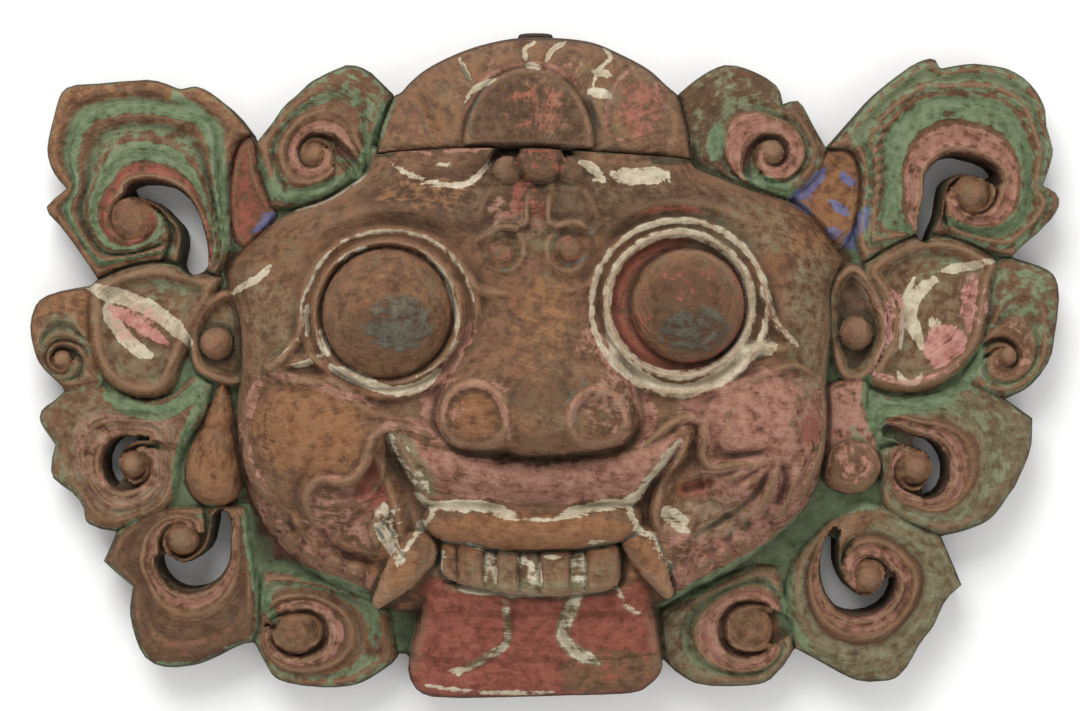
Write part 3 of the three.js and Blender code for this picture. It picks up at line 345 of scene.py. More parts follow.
# The small folds that fringe the cheeks: x and y of the middle, and the way each one bulges in degrees.
FOLDS = [
    (-183, -107, 215), (-174, -122, 222), (-160, -131, 235), (-144, -137, 245), (-128, -141, 252),
    (-113, -146, 262), (91, -146, 285), (107, -138, 292), (121, -130, 298), (134, -122, 305),
    (147, -113, 312), (160, -103, 318),
]
UPPER_LIP = [
    (-104, -44), (-92, -52), (-76, -64), (-50, -72), (0, -76), (44, -72), (66, -62), (82, -48), (92, -40),
]
# The mouth: the box it is carved in, the middle of its width, the level inside it, and its outline.
MOUTH_BOX = [(-125, -170), (110, -35)]
MOUTH_MIDDLE = -8
MOUTH_FLOOR = 84
MOUTH = [
    (-104, -44, 1), (-93, -62), (-84, -80), (-73, -91), (-36, -93), (-15, -98.5), (5, -98.5), (30, -92),
    (57, -90), (67, -76), (80, -60), (91, -46, 1), (89, -60), (80, -76), (73, -92), (72, -106), (78, -122),
    (76, -140), (62, -150), (-70, -152), (-92, -146), (-101, -134), (-93, -118), (-94, -104), (-98, -88),
    (-103, -72), (-107, -58),
]
# The gum: y of its middle, half width, reach above and below the middle, level and rise.
GUM = (-106, 73, 19, 14.5, 88, 24)
# Fangs: level and rise, and three points with the half width at each.
FANG_LEVEL = 91
FANG_RISE = 12
FANGS = [
    [(-85, -124, 14), (-98, -142, 11), (-110, -157, 5)], [(62, -117, 12), (71, -134, 9.5), (81, -151, 4.5)],
]
# The underside of the nose (x, y), and half its width from there up (y, half width).
NOSE_UNDERSIDE = [
    (-78, -52), (-56, -59), (-26, -59), (-14, -62), (10, -62), (22, -60), (48, -58), (66, -52),
]
NOSE_SIDES = [(-62, 52), (-50, 66), (-36, 71), (-15, 67), (6, 55), (23, 44), (42, 37), (74, 26)]
NOSE_MIDDLE = -4
NOSE_SINK = 12  # how far its sides go below the face
NOSE_LEVEL = 116  # the level of its bridge, and what it gains down to the tip
NOSE_RISE = 28
NOSE_TIP = ((-3, -34), (20, 30))
# Nostrils: centre, radius of the ring, height of the ring.
NOSTRILS = [((-46, -34), 22, 5), ((34, -35), 19, 4)]
# Teeth and the worn gaps between them: middle, half sizes, level and rise of the row; the sides of each, and
# how far it stands out.
TEETH_MIDDLE = -9.5
TEETH_LINE = -137
TEETH_HALF = (60, 16)
TEETH_LEVEL = 88
TEETH_RISE = 11
TOOTH_SIDES = [-69, -58, -40, -32.5, -17, -4, 17.5, 26.5, 50]
TOOTH_RISE = [2, 6, 1, 6, 3, 7, 1, 6]
# Beads of the forehead ornament: x, y, radius, height.
BEADS = [
    (-3, 134, 16, 16), (-25, 128, 10, 9), (17, 128, 10, 9), (-8, 108, 9, 7), (-29, 72, 9, 8), (16, 76, 9, 8),
]
BROW_CURLS = [(-29, -1), (16, 1)]  # x of the curl's middle, and the way it turns
FRILLED = "scroll_1r"  # the leaf with a row of small frills beside the crown
FRILLS = 8
ARCH = ((-11, 144), (43, 54))  # the raised middle of the crown: centre, half sizes
CROWN_GROOVES = [
    [(-58, 207), (-54, 197), (-49, 188)], [(-88, 186), (-80, 170), (-73, 158), (-70, 146)],
    [(-36, 216), (-38, 202), (-44, 192)],
    [(45, 209), (36, 201), (29, 190), (27, 178), (34, 160), (36, 146)],
    [(62, 204), (50, 194), (44, 182), (42, 168), (45, 156), (54, 147)],
    [(-14, 219), (-15, 208), (-12, 199)], [(14, 218), (3, 208), (-2, 198)],
    [(76, 190), (80, 176), (84, 160), (82, 146)],
]
TONGUE_ROOT = -146  # the tongue starts below this line
TONGUE_MIDDLE = -6
TONGUE_LEVEL = 82
TONGUE_SLOPE = 0.38
TONGUE_GROOVES = [
    [(-22, -152), (-23, -175), (-30, -192), (-46, -204), (-62, -208)],
    [(16, -152), (12, -170), (14, -186), (28, -200)],
]


def spline(points, steps=5):
    """A Catmull-Rom curve through rows of numbers, ends included."""
    rows = np.asarray(points, float)
    rows = np.vstack([2 * rows[0] - rows[1], rows, 2 * rows[-1] - rows[-2]])
    made = []
    for a, b, c, d in zip(rows, rows[1:], rows[2:], rows[3:]):
        slope = c - a
        bend = 2 * a - 5 * b + 4 * c - d
        twist = 3 * b - a - 3 * c + d
        for t in np.arange(steps) / steps:
            made.append(0.5 * (2 * b + slope * t + bend * t**2 + twist * t**3))
    return np.array(made + [rows[-2]])


def closed(points, steps=5):
    """A closed line through an outline's points, sharp at its corners."""
    flat = [point[:2] for point in points]
    corners = [k for k, point in enumerate(points) if len(point) > 2]
    if not corners:
        ring = flat[-2:] + flat + flat[:3]
        return spline(ring, steps)[2 * steps:-2 * steps - 1]
    flat = flat[corners[0]:] + flat[: corners[0] + 1]
    ends = [k - corners[0] for k in corners] + [len(flat) - 1]
    return np.vstack([spline(flat[a:b + 1], steps)[:-1] for a, b in zip(ends, ends[1:])])


def groove_line(eye, rows):
    """The middle of a scroll's groove as rows of x, y and half width."""
    turns = spline(rows, 6)
    angles = np.radians(turns[:, 0])
    x = eye[0] + turns[:, 1] * np.cos(angles)
    y = eye[1] + turns[:, 1] * np.sin(angles)
    return np.stack([x, y, np.maximum(turns[:, 2], 0.1)], 1)


def near_box(x, y, line, pad):
    """The points in the box round a line, with some room on every side."""
    low = line.min(0) - pad
    high = line.max(0) + pad
    return (x > low[0]) & (x < high[0]) & (y > low[1]) & (y < high[1])


def nearest(x, y, line, ring=False):
    """Distance to a line, and there the share of its length, the side (+1 left) and the third column."""
    ends = np.roll(line, -1, 0)
    starts = line
    if not ring:
        starts = line[:-1]
        ends = line[1:]
    lengths = np.hypot(*(ends - starts)[:, :2].T)
    best = np.full(x.shape, np.inf)
    share, side, wide = (np.zeros(x.shape) for _ in range(3))
    run = 0
    for start, end, length in zip(starts, ends, lengths):
        dx, dy = (end - start)[:2]
        along = np.clip(((x - start[0]) * dx + (y - start[1]) * dy) / max(length**2, 1e-9), 0, 1)
        far = (x - start[0] - along * dx) ** 2 + (y - start[1] - along * dy) ** 2
        closer = far < best
        best = np.where(closer, far, best)
        share = np.where(closer, (run + along * length) / lengths.sum(), share)
        side = np.where(closer, np.sign(dx * (y - start[1]) - dy * (x - start[0])), side)
        if line.shape[1] > 2:
            wide = np.where(closer, start[2] + along * (end[2] - start[2]), wide)
        run += length
    return np.sqrt(best), share, side, wide


def within(x, y, ring):
    """True inside a closed line."""
    result = np.zeros(x.shape, bool)
    for (x0, y0), (x1, y1) in zip(ring[:, :2], np.roll(ring, -1, 0)[:, :2]):
        if y0 != y1:
            result ^= ((y0 > y) != (y1 > y)) & (x < (x1 - x0) * (y - y0) / (y1 - y0) + x0)
    return result


def depth_in(x, y, ring):
    """Distance to a closed line, positive inside it."""
    return nearest(x, y, ring, True)[0] * np.where(within(x, y, ring), 1.0, -1.0)


def rounded_depth(x, y, ring):
    """Distance to a closed line with its corners smoothed away."""
    following = np.roll(ring, -1, 0)
    middles = (ring + following) / 2
    lengths = np.hypot(*(following - ring).T)
    total = np.zeros(x.shape)
    for (a, b), length in zip(middles, lengths):
        total += length / ((x - a) ** 2 + (y - b) ** 2 + 0.5) ** 2
    return (total * 2 / math.pi) ** (-1 / 3)


def ramp(start, end, value):
    """0 at start, 1 at end, smooth between."""
    share = np.clip((value - start) / (end - start), 0, 1)
    return share * share * (3 - 2 * share)


def blend_max(a, b, width):
    """The larger of two heights, with the crease between them filled over a width."""
    near = np.maximum(width - np.abs(a - b), 0) / width
    return np.maximum(a, b) + near * near * width / 4


def through(rows, value):
    """A height that goes smoothly through rows of (place, height)."""
    height = np.full(value.shape, float(rows[0][1]))
    for (a, low), (b, high) in zip(rows, rows[1:]):
        height += (high - low) * ramp(a, b, value)
    return height


def shoulder(share):
    """A quarter round: 0 at the edge, 1 from share 1 inwards."""
    return np.sqrt(1 - (1 - np.clip(share, 0, 1)) ** 2)


def rounded_edge(depth, drop, width, fall):
    """What a piece's edge takes off its height: a quarter round inside, a steep fall outside."""
    return -drop * (1 - shoulder(depth / width)) + fall * np.minimum(depth, 0)


def reach(x, y, centre, half):
    """1 on an ellipse, less inside it."""
    return np.hypot((x - centre[0]) / half[0], (y - centre[1]) / half[1])


def off_ring(x, y, ring):
    """Distance out from an oval ring, given by its middle and half sizes; negative inside it."""
    return (reach(x, y, ring[:2], ring[2:]) - 1) * ring[2]


def cap(distance):
    """The top of a ball: 1 in the middle, 0 from distance 1 outwards."""
    return np.sqrt(np.clip(1 - distance**2, 0, 1))


def swell(distance):
    """A soft mound: 1 in the middle, 0 from distance 1 outwards."""
    return np.clip(1 - distance**2, 0, 1)


def bell(distance, width):
    """A soft line: 1 on it, fading to nothing over about two widths."""
    return np.exp(-((distance / width) ** 2))


def ball_on(base, distance, height):
    """A ball of a given height over a base, which ends at distance 1."""
    return np.where(distance < 1, base + height * cap(distance), FAR_DOWN)


def bump(x, y, points, half, height):
    """A raised or cut line that thins out at its ends."""
    line = spline(points)
    near = near_box(x, y, line, half)
    result = np.zeros(x.shape)
    if near.any():
        distance, share, _, _ = nearest(x[near], y[near], line)
        ends = 0.35 + 0.65 * ramp(0, 0.2, share) * ramp(1, 0.8, share)
        result[near] = height * ends * swell(distance / half) ** 2
    return result


def domed(x, y, dome):
    """The height of a dome over the flat back."""
    rim, rise, centre, half = dome
    return rim + rise * cap(reach(x, y, centre, half))


def carve_eyes(x, y, height, base):
    """Sockets, the two carved rings round each eye, the balls and the corners."""
    for eye in EYES:
        centre = eye["ball"][:2]
        away = {ring: off_ring(x, y, eye[ring]) for ring in EYE_RINGS}
        height = height - 5 * ramp(14, 2, away["outer"]) - 3 * ramp(0, -5, away["inner"])
        for ring, (rise, width) in EYE_RINGS.items():
            height = height + rise * bell(away[ring], width)
        level = 0.6 * base + 0.4 * domed(*centre, HEAD_DOME) - BALL_SINK
        ball = ball_on(level, reach(x, y, centre, eye["ball"][2:] * 2), BALL_RISE)
        height = blend_max(height, ball, 3)
        height = height + bump(x, y, eye["tail"], 5, 8) + bump(x, y, eye["low"], 6, 6)
    return height


def tooth_sag(x):
    """How far the row of teeth curves up towards its ends."""
    return 0.0022 * (x - 2) ** 2


def carve_mouth(x, y, height):
    """The open mouth with its gum, a row of worn teeth and two fangs."""
    depth = depth_in(x, y, closed(MOUTH))
    across = np.abs(x - MOUTH_MIDDLE)
    corner = height - 8 - 34 * ramp(-84, -112, y)
    floor = np.maximum(MOUTH_FLOOR + 0.1 * (y + 100) + 9 * ramp(54, 66, across), corner)
    height = np.where(depth > 0, height + (np.minimum(floor, height) - height) * ramp(0, 6, depth), height)
    height = height + 4 * bell(depth + 3, 3.4) * ramp(-140, -120, y)
    gum_line, half, above, below, level, rise = GUM
    middle = gum_line - 3 * cap(across / 76) + 0.0008 * across**2
    round_gum = (across / half) ** 6 + np.where(y > middle, (y - middle) / above, (middle - y) / below) ** 2
    gum = level + rise * np.sqrt(np.clip(1 - round_gum, 0, 1)) + 5 * cap(across / 80)
    height = blend_max(height, np.where(round_gum < 1, gum, FAR_DOWN), 6)
    row = (np.abs(x - TEETH_MIDDLE) / TEETH_HALF[0]) ** 14
    row = row + (np.abs(y - TEETH_LINE - tooth_sag(x)) / TEETH_HALF[1]) ** 4
    bar = TEETH_LEVEL + TEETH_RISE * np.clip(1 - row, 0, 1) ** 0.5
    for left, right, rise in zip(TOOTH_SIDES, TOOTH_SIDES[1:], TOOTH_RISE):
        middle = (left + right) / 2
        bar = bar + rise * np.clip(1 - (np.abs(x - middle) / (right - middle)) ** 6, 0, 1)
    height = np.where(row < 1, np.maximum(height, bar), height)
    for points in FANGS:
        distance, share, _, wide = nearest(x, y, spline(points))
        fang = FANG_LEVEL + FANG_RISE * cap(distance / wide) ** 0.6 - 4 * share
        height = blend_max(height, np.where(distance < wide, fang, FAR_DOWN), 2)
    return height


def carve_nose(x, y, height, base):
    """A broad nose: a ridge between the eyes that widens down to a soft tip between two ringed nostrils."""
    base = base - NOSE_SINK
    across = np.abs(x - NOSE_MIDDLE) / through(NOSE_SIDES, y)
    under = y - through(NOSE_UNDERSIDE, x)
    top = NOSE_LEVEL + NOSE_RISE * ramp(60, -24, y) + 12 * swell(reach(x, y, *NOSE_TIP))
    lift = ramp(88, 46, y) * shoulder(under / 20)
    ridge = base + (top - base) * np.clip(1 - across**2.6, 0, 1) ** 0.6 * lift
    nose = np.where(across < 1, ridge, FAR_DOWN)
    for centre, radius, rise in NOSTRILS:
        distance = np.hypot(x - centre[0], y - centre[1])
        wing = swell(distance / (radius + 12))
        ring = rise * bell(distance - radius, 3.2) - 3 * ramp(radius - 2, radius - 8, distance)
        nose = nose + ramp(-4, 8, under) * (8 * wing + ring)
    nose = np.where(under > 0, nose, nose + under * 5)
    return blend_max(height, nose, 6)


def carve_face(x, y, depth):
    """The front of the head, from its outline inwards."""
    base = domed(x, y, HEAD_DOME)
    height = base + rounded_edge(depth, 25, 34, 4)
    for rise, centre, half in CHEEKS:
        height = height + rise * swell(reach(x, y, centre, half)) ** 0.7
    height = carve_eyes(x, y, height, base)
    for points, half, rise in RIDGES:
        height = height + bump(x, y, points, half, rise)
    for cx, cy, way in FOLDS:
        out = (math.cos(math.radians(way)), math.sin(math.radians(way)))
        along = (x - cx) * out[0] + (y - cy) * out[1]
        beside = (y - cy) * out[0] - (x - cx) * out[1]
        height = height + 5 * cap(np.hypot(along / 15, beside / 7))
        height = height - 4 * bell(np.hypot((along + 12) / 4, beside / 9), 1)
    height = height + bump(x, y, UPPER_LIP, 20, 15)
    mouth = near_box(x, y, np.array(MOUTH_BOX), 0)
    height[mouth] = carve_mouth(x[mouth], y[mouth], height[mouth])
    height = carve_nose(x, y, height, base)
    for cx, cy, radius, rise in BEADS:
        height = blend_max(height, ball_on(base - 2, reach(x, y, (cx, cy), (radius, radius)), rise), 2)
    for cx, turn in BROW_CURLS:
        curl = [(90 + turn * angle, 17 - 0.022 * angle, 1) for angle in range(-60, 300, 40)]
        height = height + bump(x, y, groove_line((cx, 74), curl)[::6, :2], 4.5, 4)
    return height


def lean(x, y):
    """The leaves lean back towards their tips."""
    return -LEAN * np.clip(np.hypot(x, y * 1.2) - LEAN_FROM, 0, 200)


def carve_plain(x, y, depth, name):
    """A leaf with a rounded edge, and any hollow or ball on it."""
    level, drop, width, hollow, _ = LEAVES[name]
    height = level + rounded_edge(depth, drop, width, 4) + lean(x, y)
    if hollow:
        sink, start, end = hollow
        height = height - sink * ramp(start, end, depth)
    for leaf, centre, half, rise in BALLS:
        if leaf == name:
            height = height + rise * cap(reach(x, y, centre, half))
    return height


def carve_scroll(x, y, depth, name):
    """A leaf that curls round a knob: its height, the depth inside its slot, and its places for paint."""
    scroll = SCROLLS[name]
    eye = scroll["eye"]
    knob, rise = scroll["knob"]
    turns = scroll["groove"]
    radius = np.hypot(x - eye[0], y - eye[1])
    distance, share, side, wide = nearest(x, y, groove_line(eye, turns))
    outside = side * np.sign(turns[-1][0] - turns[0][0]) < 0
    inner = np.maximum(depth, 0)
    beside = np.maximum(distance - wide, 0)
    edge = np.minimum(rounded_depth(x, y, closed(OUTLINES[name], 8)), inner * 1.6)
    across = beside / (beside + edge + 1e-6)
    level = scroll["top"] + lean(x, y)
    height = level + rounded_edge(depth, 9, 7, 4)
    if name == FRILLED:
        for k in range(FRILLS):
            fx, fy = (217 + 0.8 * k, 108 + 7 * k)
            height = height + bump(x, y, [(fx, fy), (fx + 11, fy + 6), (fx + 19, fy + 15)], 3.2, 3)
    curl = -9 * ramp(0, 3, distance - wide) * ramp(knob * 2.6, knob * 1.5, radius)
    soft = np.maximum(ramp(0, 5, beside), ramp(2, 4, wide))
    body = through(scroll["across"], across) * ramp(0, 8, inner) * soft
    height = height + np.where(outside, body, curl * soft)
    floor, sunk = PIERCED if scroll["pierced"] else WHOLE
    height = height - floor * cap(distance / wide) * ramp(0.6, 3, wide)
    height = height - np.where(wide < 3, 2 * ramp(2.6, 0, distance), 0)
    ball = ball_on(level - sunk, radius / knob, rise + sunk)
    height = blend_max(height, ball - 1.8 * bell(distance, 1.8), 3)
    slot = np.full(x.shape, -9.0)
    if scroll["pierced"]:
        start, end = scroll["pierced"]
        ends = np.minimum(share - start, end - share) * 200 + 1.5
        slot = np.where(wide > SLOT_LEAST, np.minimum(wide * SLOT_SHARE - distance, ends), slot)
    return height, slot, np.where(outside, across, -1), radius / knob, np.where(outside, beside, radius)


def carve_tongue(x, y, depth):
    """A tongue that slopes down from the teeth, with a soft ripple and two long grooves."""
    height = TONGUE_LEVEL + TONGUE_SLOPE * (y + 150) + 3 * cap((x - TONGUE_MIDDLE) / 85)
    height = height + rounded_edge(depth, 14, 11, 5)
    height = height + 0.3 * np.sin(x / 2.3 + np.sin(y / 9)) * np.sin(y / 2.9)
    for points in TONGUE_GROOVES:
        height = height + bump(x, y, points, 5, -3.2)
    return np.where(y > TONGUE_ROOT, FAR_DOWN, height)


def carve_crown(x, y, depth):
    """The crown block: an arch in the middle and grooves that run up from it."""
    height = domed(x, y, CROWN_DOME) + rounded_edge(depth, 8, 9, 6)
    arch = reach(x, y, *ARCH)
    inside = ramp(0, 4, depth)
    height = height + inside * (4 * ramp(1.02, 0.97, arch) - 3 * bell((arch - 1.03) * 13, 1))
    for points in CROWN_GROOVES:
        height = height + inside * bump(x, y, points, 4, -3)
    return height


LINES = {name: closed(points) for name, points in OUTLINES.items()}


def around(x, y, name):
    """The points near an outline, as a mask, and how deep each of them lies inside it."""
    near = near_box(x, y, LINES[name], 14)
    return near, x[near], y[near], depth_in(x[near], y[near], LINES[name])


def carve(x, y):
    """Heights and edges of the head and of the crown block, and the places that the paint needs."""
    head, crown = (np.full(x.shape, float(FAR_DOWN)) for _ in range(2))
    edge, slot, crown_edge = (np.full(x.shape, float(FAR_OUT)) for _ in range(3))
    places = {}

    def add_form(name, near, depth, height, width, *more):
        """Blends a form into the head and keeps its place for the paint."""
        head[near] = blend_max(head[near], height, width)
        edge[near] = np.maximum(edge[near], depth)
        places[name] = (near, depth, *more)

    for name in LEAVES:
        near, px, py, depth = around(x, y, name)
        height = carve_plain(px, py, depth, name)
        add_form(name, near, depth, height, 3)
        if name == "hollow_r":
            head[near] = np.where(depth > 0, np.minimum(head[near], height), head[near])
    for name in SCROLLS:
        near, px, py, depth = around(x, y, name)
        height, cut, *paint_places = carve_scroll(px, py, depth, name)
        add_form(name, near, depth, height, 3, *paint_places)
        slot[near] = np.maximum(slot[near], cut)
    near, px, py, depth = around(x, y, "face")
    add_form("face", near, depth, carve_face(px, py, depth), 3)
    for name in ("fringe_l", "fringe_r"):
        near, px, py, depth = around(x, y, name)
        height = domed(px, py, CROWN_DOME) + 2 + rounded_edge(depth, 8, 9, 6)
        add_form(name, near, depth, height, 1.5)
    near, px, py, depth = around(x, y, "tongue")
    add_form("tongue", near, depth, carve_tongue(px, py, depth), 2)
    near, px, py, depth = around(x, y, "crown")
    crown[near] = carve_crown(px, py, depth)
    crown_edge[near] = depth
    places["crown"] = (near, depth)
    edge = np.minimum(np.minimum(edge, -slot), -crown_edge - JOINT_GAP)
    return {"head": (head, edge), "crown": (crown, crown_edge), "places": places}


BOWL = ((-5, -5), (176, 134))  # the hollow behind the face: centre, half sizes
BOWL_DEPTH = 82  # the head's; the crown block has none
LEAST_EDGE = 0.05  # no grid point lies closer to the outline than this
WALL_RINGS = (0.12, 0.5)  # how far down the walls their rings of points lie

# Marching squares: for each case of corners inside (1, 2, 4, 8 from the low corner round), its polygons, as
# corners 0-3 and crossings 4-7 of the side that follows each corner.
CASES = {
    1: [(0, 4, 7)], 2: [(1, 5, 4)], 3: [(0, 1, 5, 7)], 4: [(2, 6, 5)], 5: [(0, 4, 7), (2, 6, 5)],
    6: [(1, 2, 6, 4)], 7: [(0, 1, 2, 6, 7)], 8: [(3, 7, 6)], 9: [(0, 4, 6, 3)], 10: [(1, 5, 4), (3, 7, 6)],
    11: [(0, 1, 5, 6, 3)], 12: [(2, 3, 7, 5)], 13: [(0, 4, 5, 2, 3)], 14: [(1, 2, 3, 7, 4)],
    15: [(0, 1, 2, 3)],
}


def crossings(x, y, edge, axis, first):
    """The points where the outline crosses the grid's lines along one axis, and a grid of their numbers."""
    count = edge.shape[axis] - 1
    here = np.take(edge, range(count), axis)
    there = np.take(edge, range(1, count + 1), axis)
    crossed = (here > 0) != (there > 0)
    share = (here / np.where(crossed, here - there, 1))[crossed]
    made = []
    for values in (x, y):
        low = np.take(values, range(count), axis)[crossed]
        high = np.take(values, range(1, count + 1), axis)[crossed]
        made.append(low + (high - low) * share)
    numbers = np.full(crossed.shape, -1)
    numbers[crossed] = first + np.arange(crossed.sum())
    return np.stack(made, 1), numbers


def trace(x, y, edge):
    """The area of a grid where edge is positive: its points, its polygons and the sides on its outline."""
    edge = np.where(np.abs(edge) < LEAST_EDGE, LEAST_EDGE, edge)
    inside = edge > 0
    corner = np.full(edge.shape, -1)
    corner[inside] = np.arange(inside.sum())
    along, on_x = crossings(x, y, edge, 1, inside.sum())
    up, on_y = crossings(x, y, edge, 0, inside.sum() + len(along))
    points = np.vstack([np.stack([x[inside], y[inside]], 1), along, up])
    around_cell = [corner[:-1, :-1], corner[:-1, 1:], corner[1:, 1:], corner[1:, :-1]]
    around_cell += [on_x[:-1], on_y[:, 1:], on_x[1:], on_y[:, :-1]]
    case = sum((around_cell[k] >= 0) * 2**k for k in range(4))
    faces = []
    sides = []
    for number, polygons in CASES.items():
        cells = case == number
        for polygon in polygons:
            rows = np.stack([around_cell[k][cells] for k in polygon], 1)
            faces += rows.tolist()
            for a, b in zip(range(len(polygon)), np.roll(range(len(polygon)), -1)):
                if polygon[a] > 3 and polygon[b] > 3:
                    sides.append(rows[:, [a, b]])
    return points, faces, np.vstack(sides)


def carved_back(x, y, depth):
    """The back lies flat at 0, with a bowl of some depth gouged out behind the face."""
    gouges = 1.2 * np.sin(x / 9 + 2 * np.sin(y / 23)) * np.sin(y / 11)
    bowl = cap(reach(x, y, *BOWL))
    return np.clip(depth * bowl + gouges * ramp(0.15, 0.5, bowl), 0, depth)


def blurred(values, weights, radius):
    """A grid averaged over a square, by the weights of its points."""
    for axis in (0, 1):
        made = []
        for grid in (values * weights, weights):
            padding = [(0, 0), (0, 0)]
            padding[axis] = (radius + 1, radius)
            sums = np.cumsum(np.pad(grid, padding), axis)
            count = grid.shape[axis]
            start = 2 * radius + 1
            made.append(np.take(sums, range(start, start + count), axis) - np.take(sums, range(count), axis))
        values = made[0] / np.maximum(made[1], 1e-9)
        weights = (made[1] > 1e-6).astype(float)
    return values


def looked_up(grid, x, y, low):
    """A grid's value at any points, between its own."""
    u = np.clip((x - low[0]) / STEP, 0, grid.shape[1] - 1.001)
    v = np.clip((y - low[1]) / STEP, 0, grid.shape[0] - 1.001)
    i = u.astype(int)
    j = v.astype(int)
    u = u - i
    v = v - j
    below = grid[j, i] * (1 - u) + grid[j, i + 1] * u
    above = grid[j + 1, i] * (1 - u) + grid[j + 1, i + 1] * u
    return below * (1 - v) + above * v


def new_mesh(name, points, faces):
    mesh = bpy.data.meshes.new(name)
    mesh.from_pydata(points, [], faces)
    mesh.update()
    return mesh


def linked(name, data):
    """An object in the scene that shows a mesh, a light or a camera."""
    made = bpy.data.objects.new(name, data)
    bpy.context.scene.collection.objects.link(made)
    return made


def carved_mesh(name, part, bowl_depth, low, high):
    """A closed piece: the carved front, walls straight down from its outline, and the back."""
    x, y = np.meshgrid(np.arange(low[0], high[0], STEP), np.arange(low[1], high[1], STEP))
    height, edge = carve(x, y)[part]
    points, faces, sides = trace(x, y, edge)
    top = carve(points[:, 0], points[:, 1])[part][0]
    bottom = carved_back(points[:, 0], points[:, 1], bowl_depth)
    count = len(points)
    front = np.column_stack([points, top])
    behind = np.column_stack([points, bottom])
    rim = np.unique(sides)
    number = np.full(count, -1)
    number[rim] = np.arange(len(rim))
    rows = [front]
    faces += [[k + count for k in reversed(face)] for face in faces]
    levels = [lambda k: k]
    for share in WALL_RINGS:
        first = 2 * count + len(rim) * (len(levels) - 1)
        levels.append(lambda k, first=first: first + number[k])
        rows.append(front[rim] + (behind[rim] - front[rim]) * share)
    levels.append(lambda k: k + count)
    rows.insert(1, behind)
    for upper, lower in zip(levels, levels[1:]):
        a, b = sides.T
        faces += np.stack([upper(b), upper(a), lower(a), lower(b)], 1).tolist()
    return new_mesh(name, np.vstack(rows).tolist(), faces), height, edge

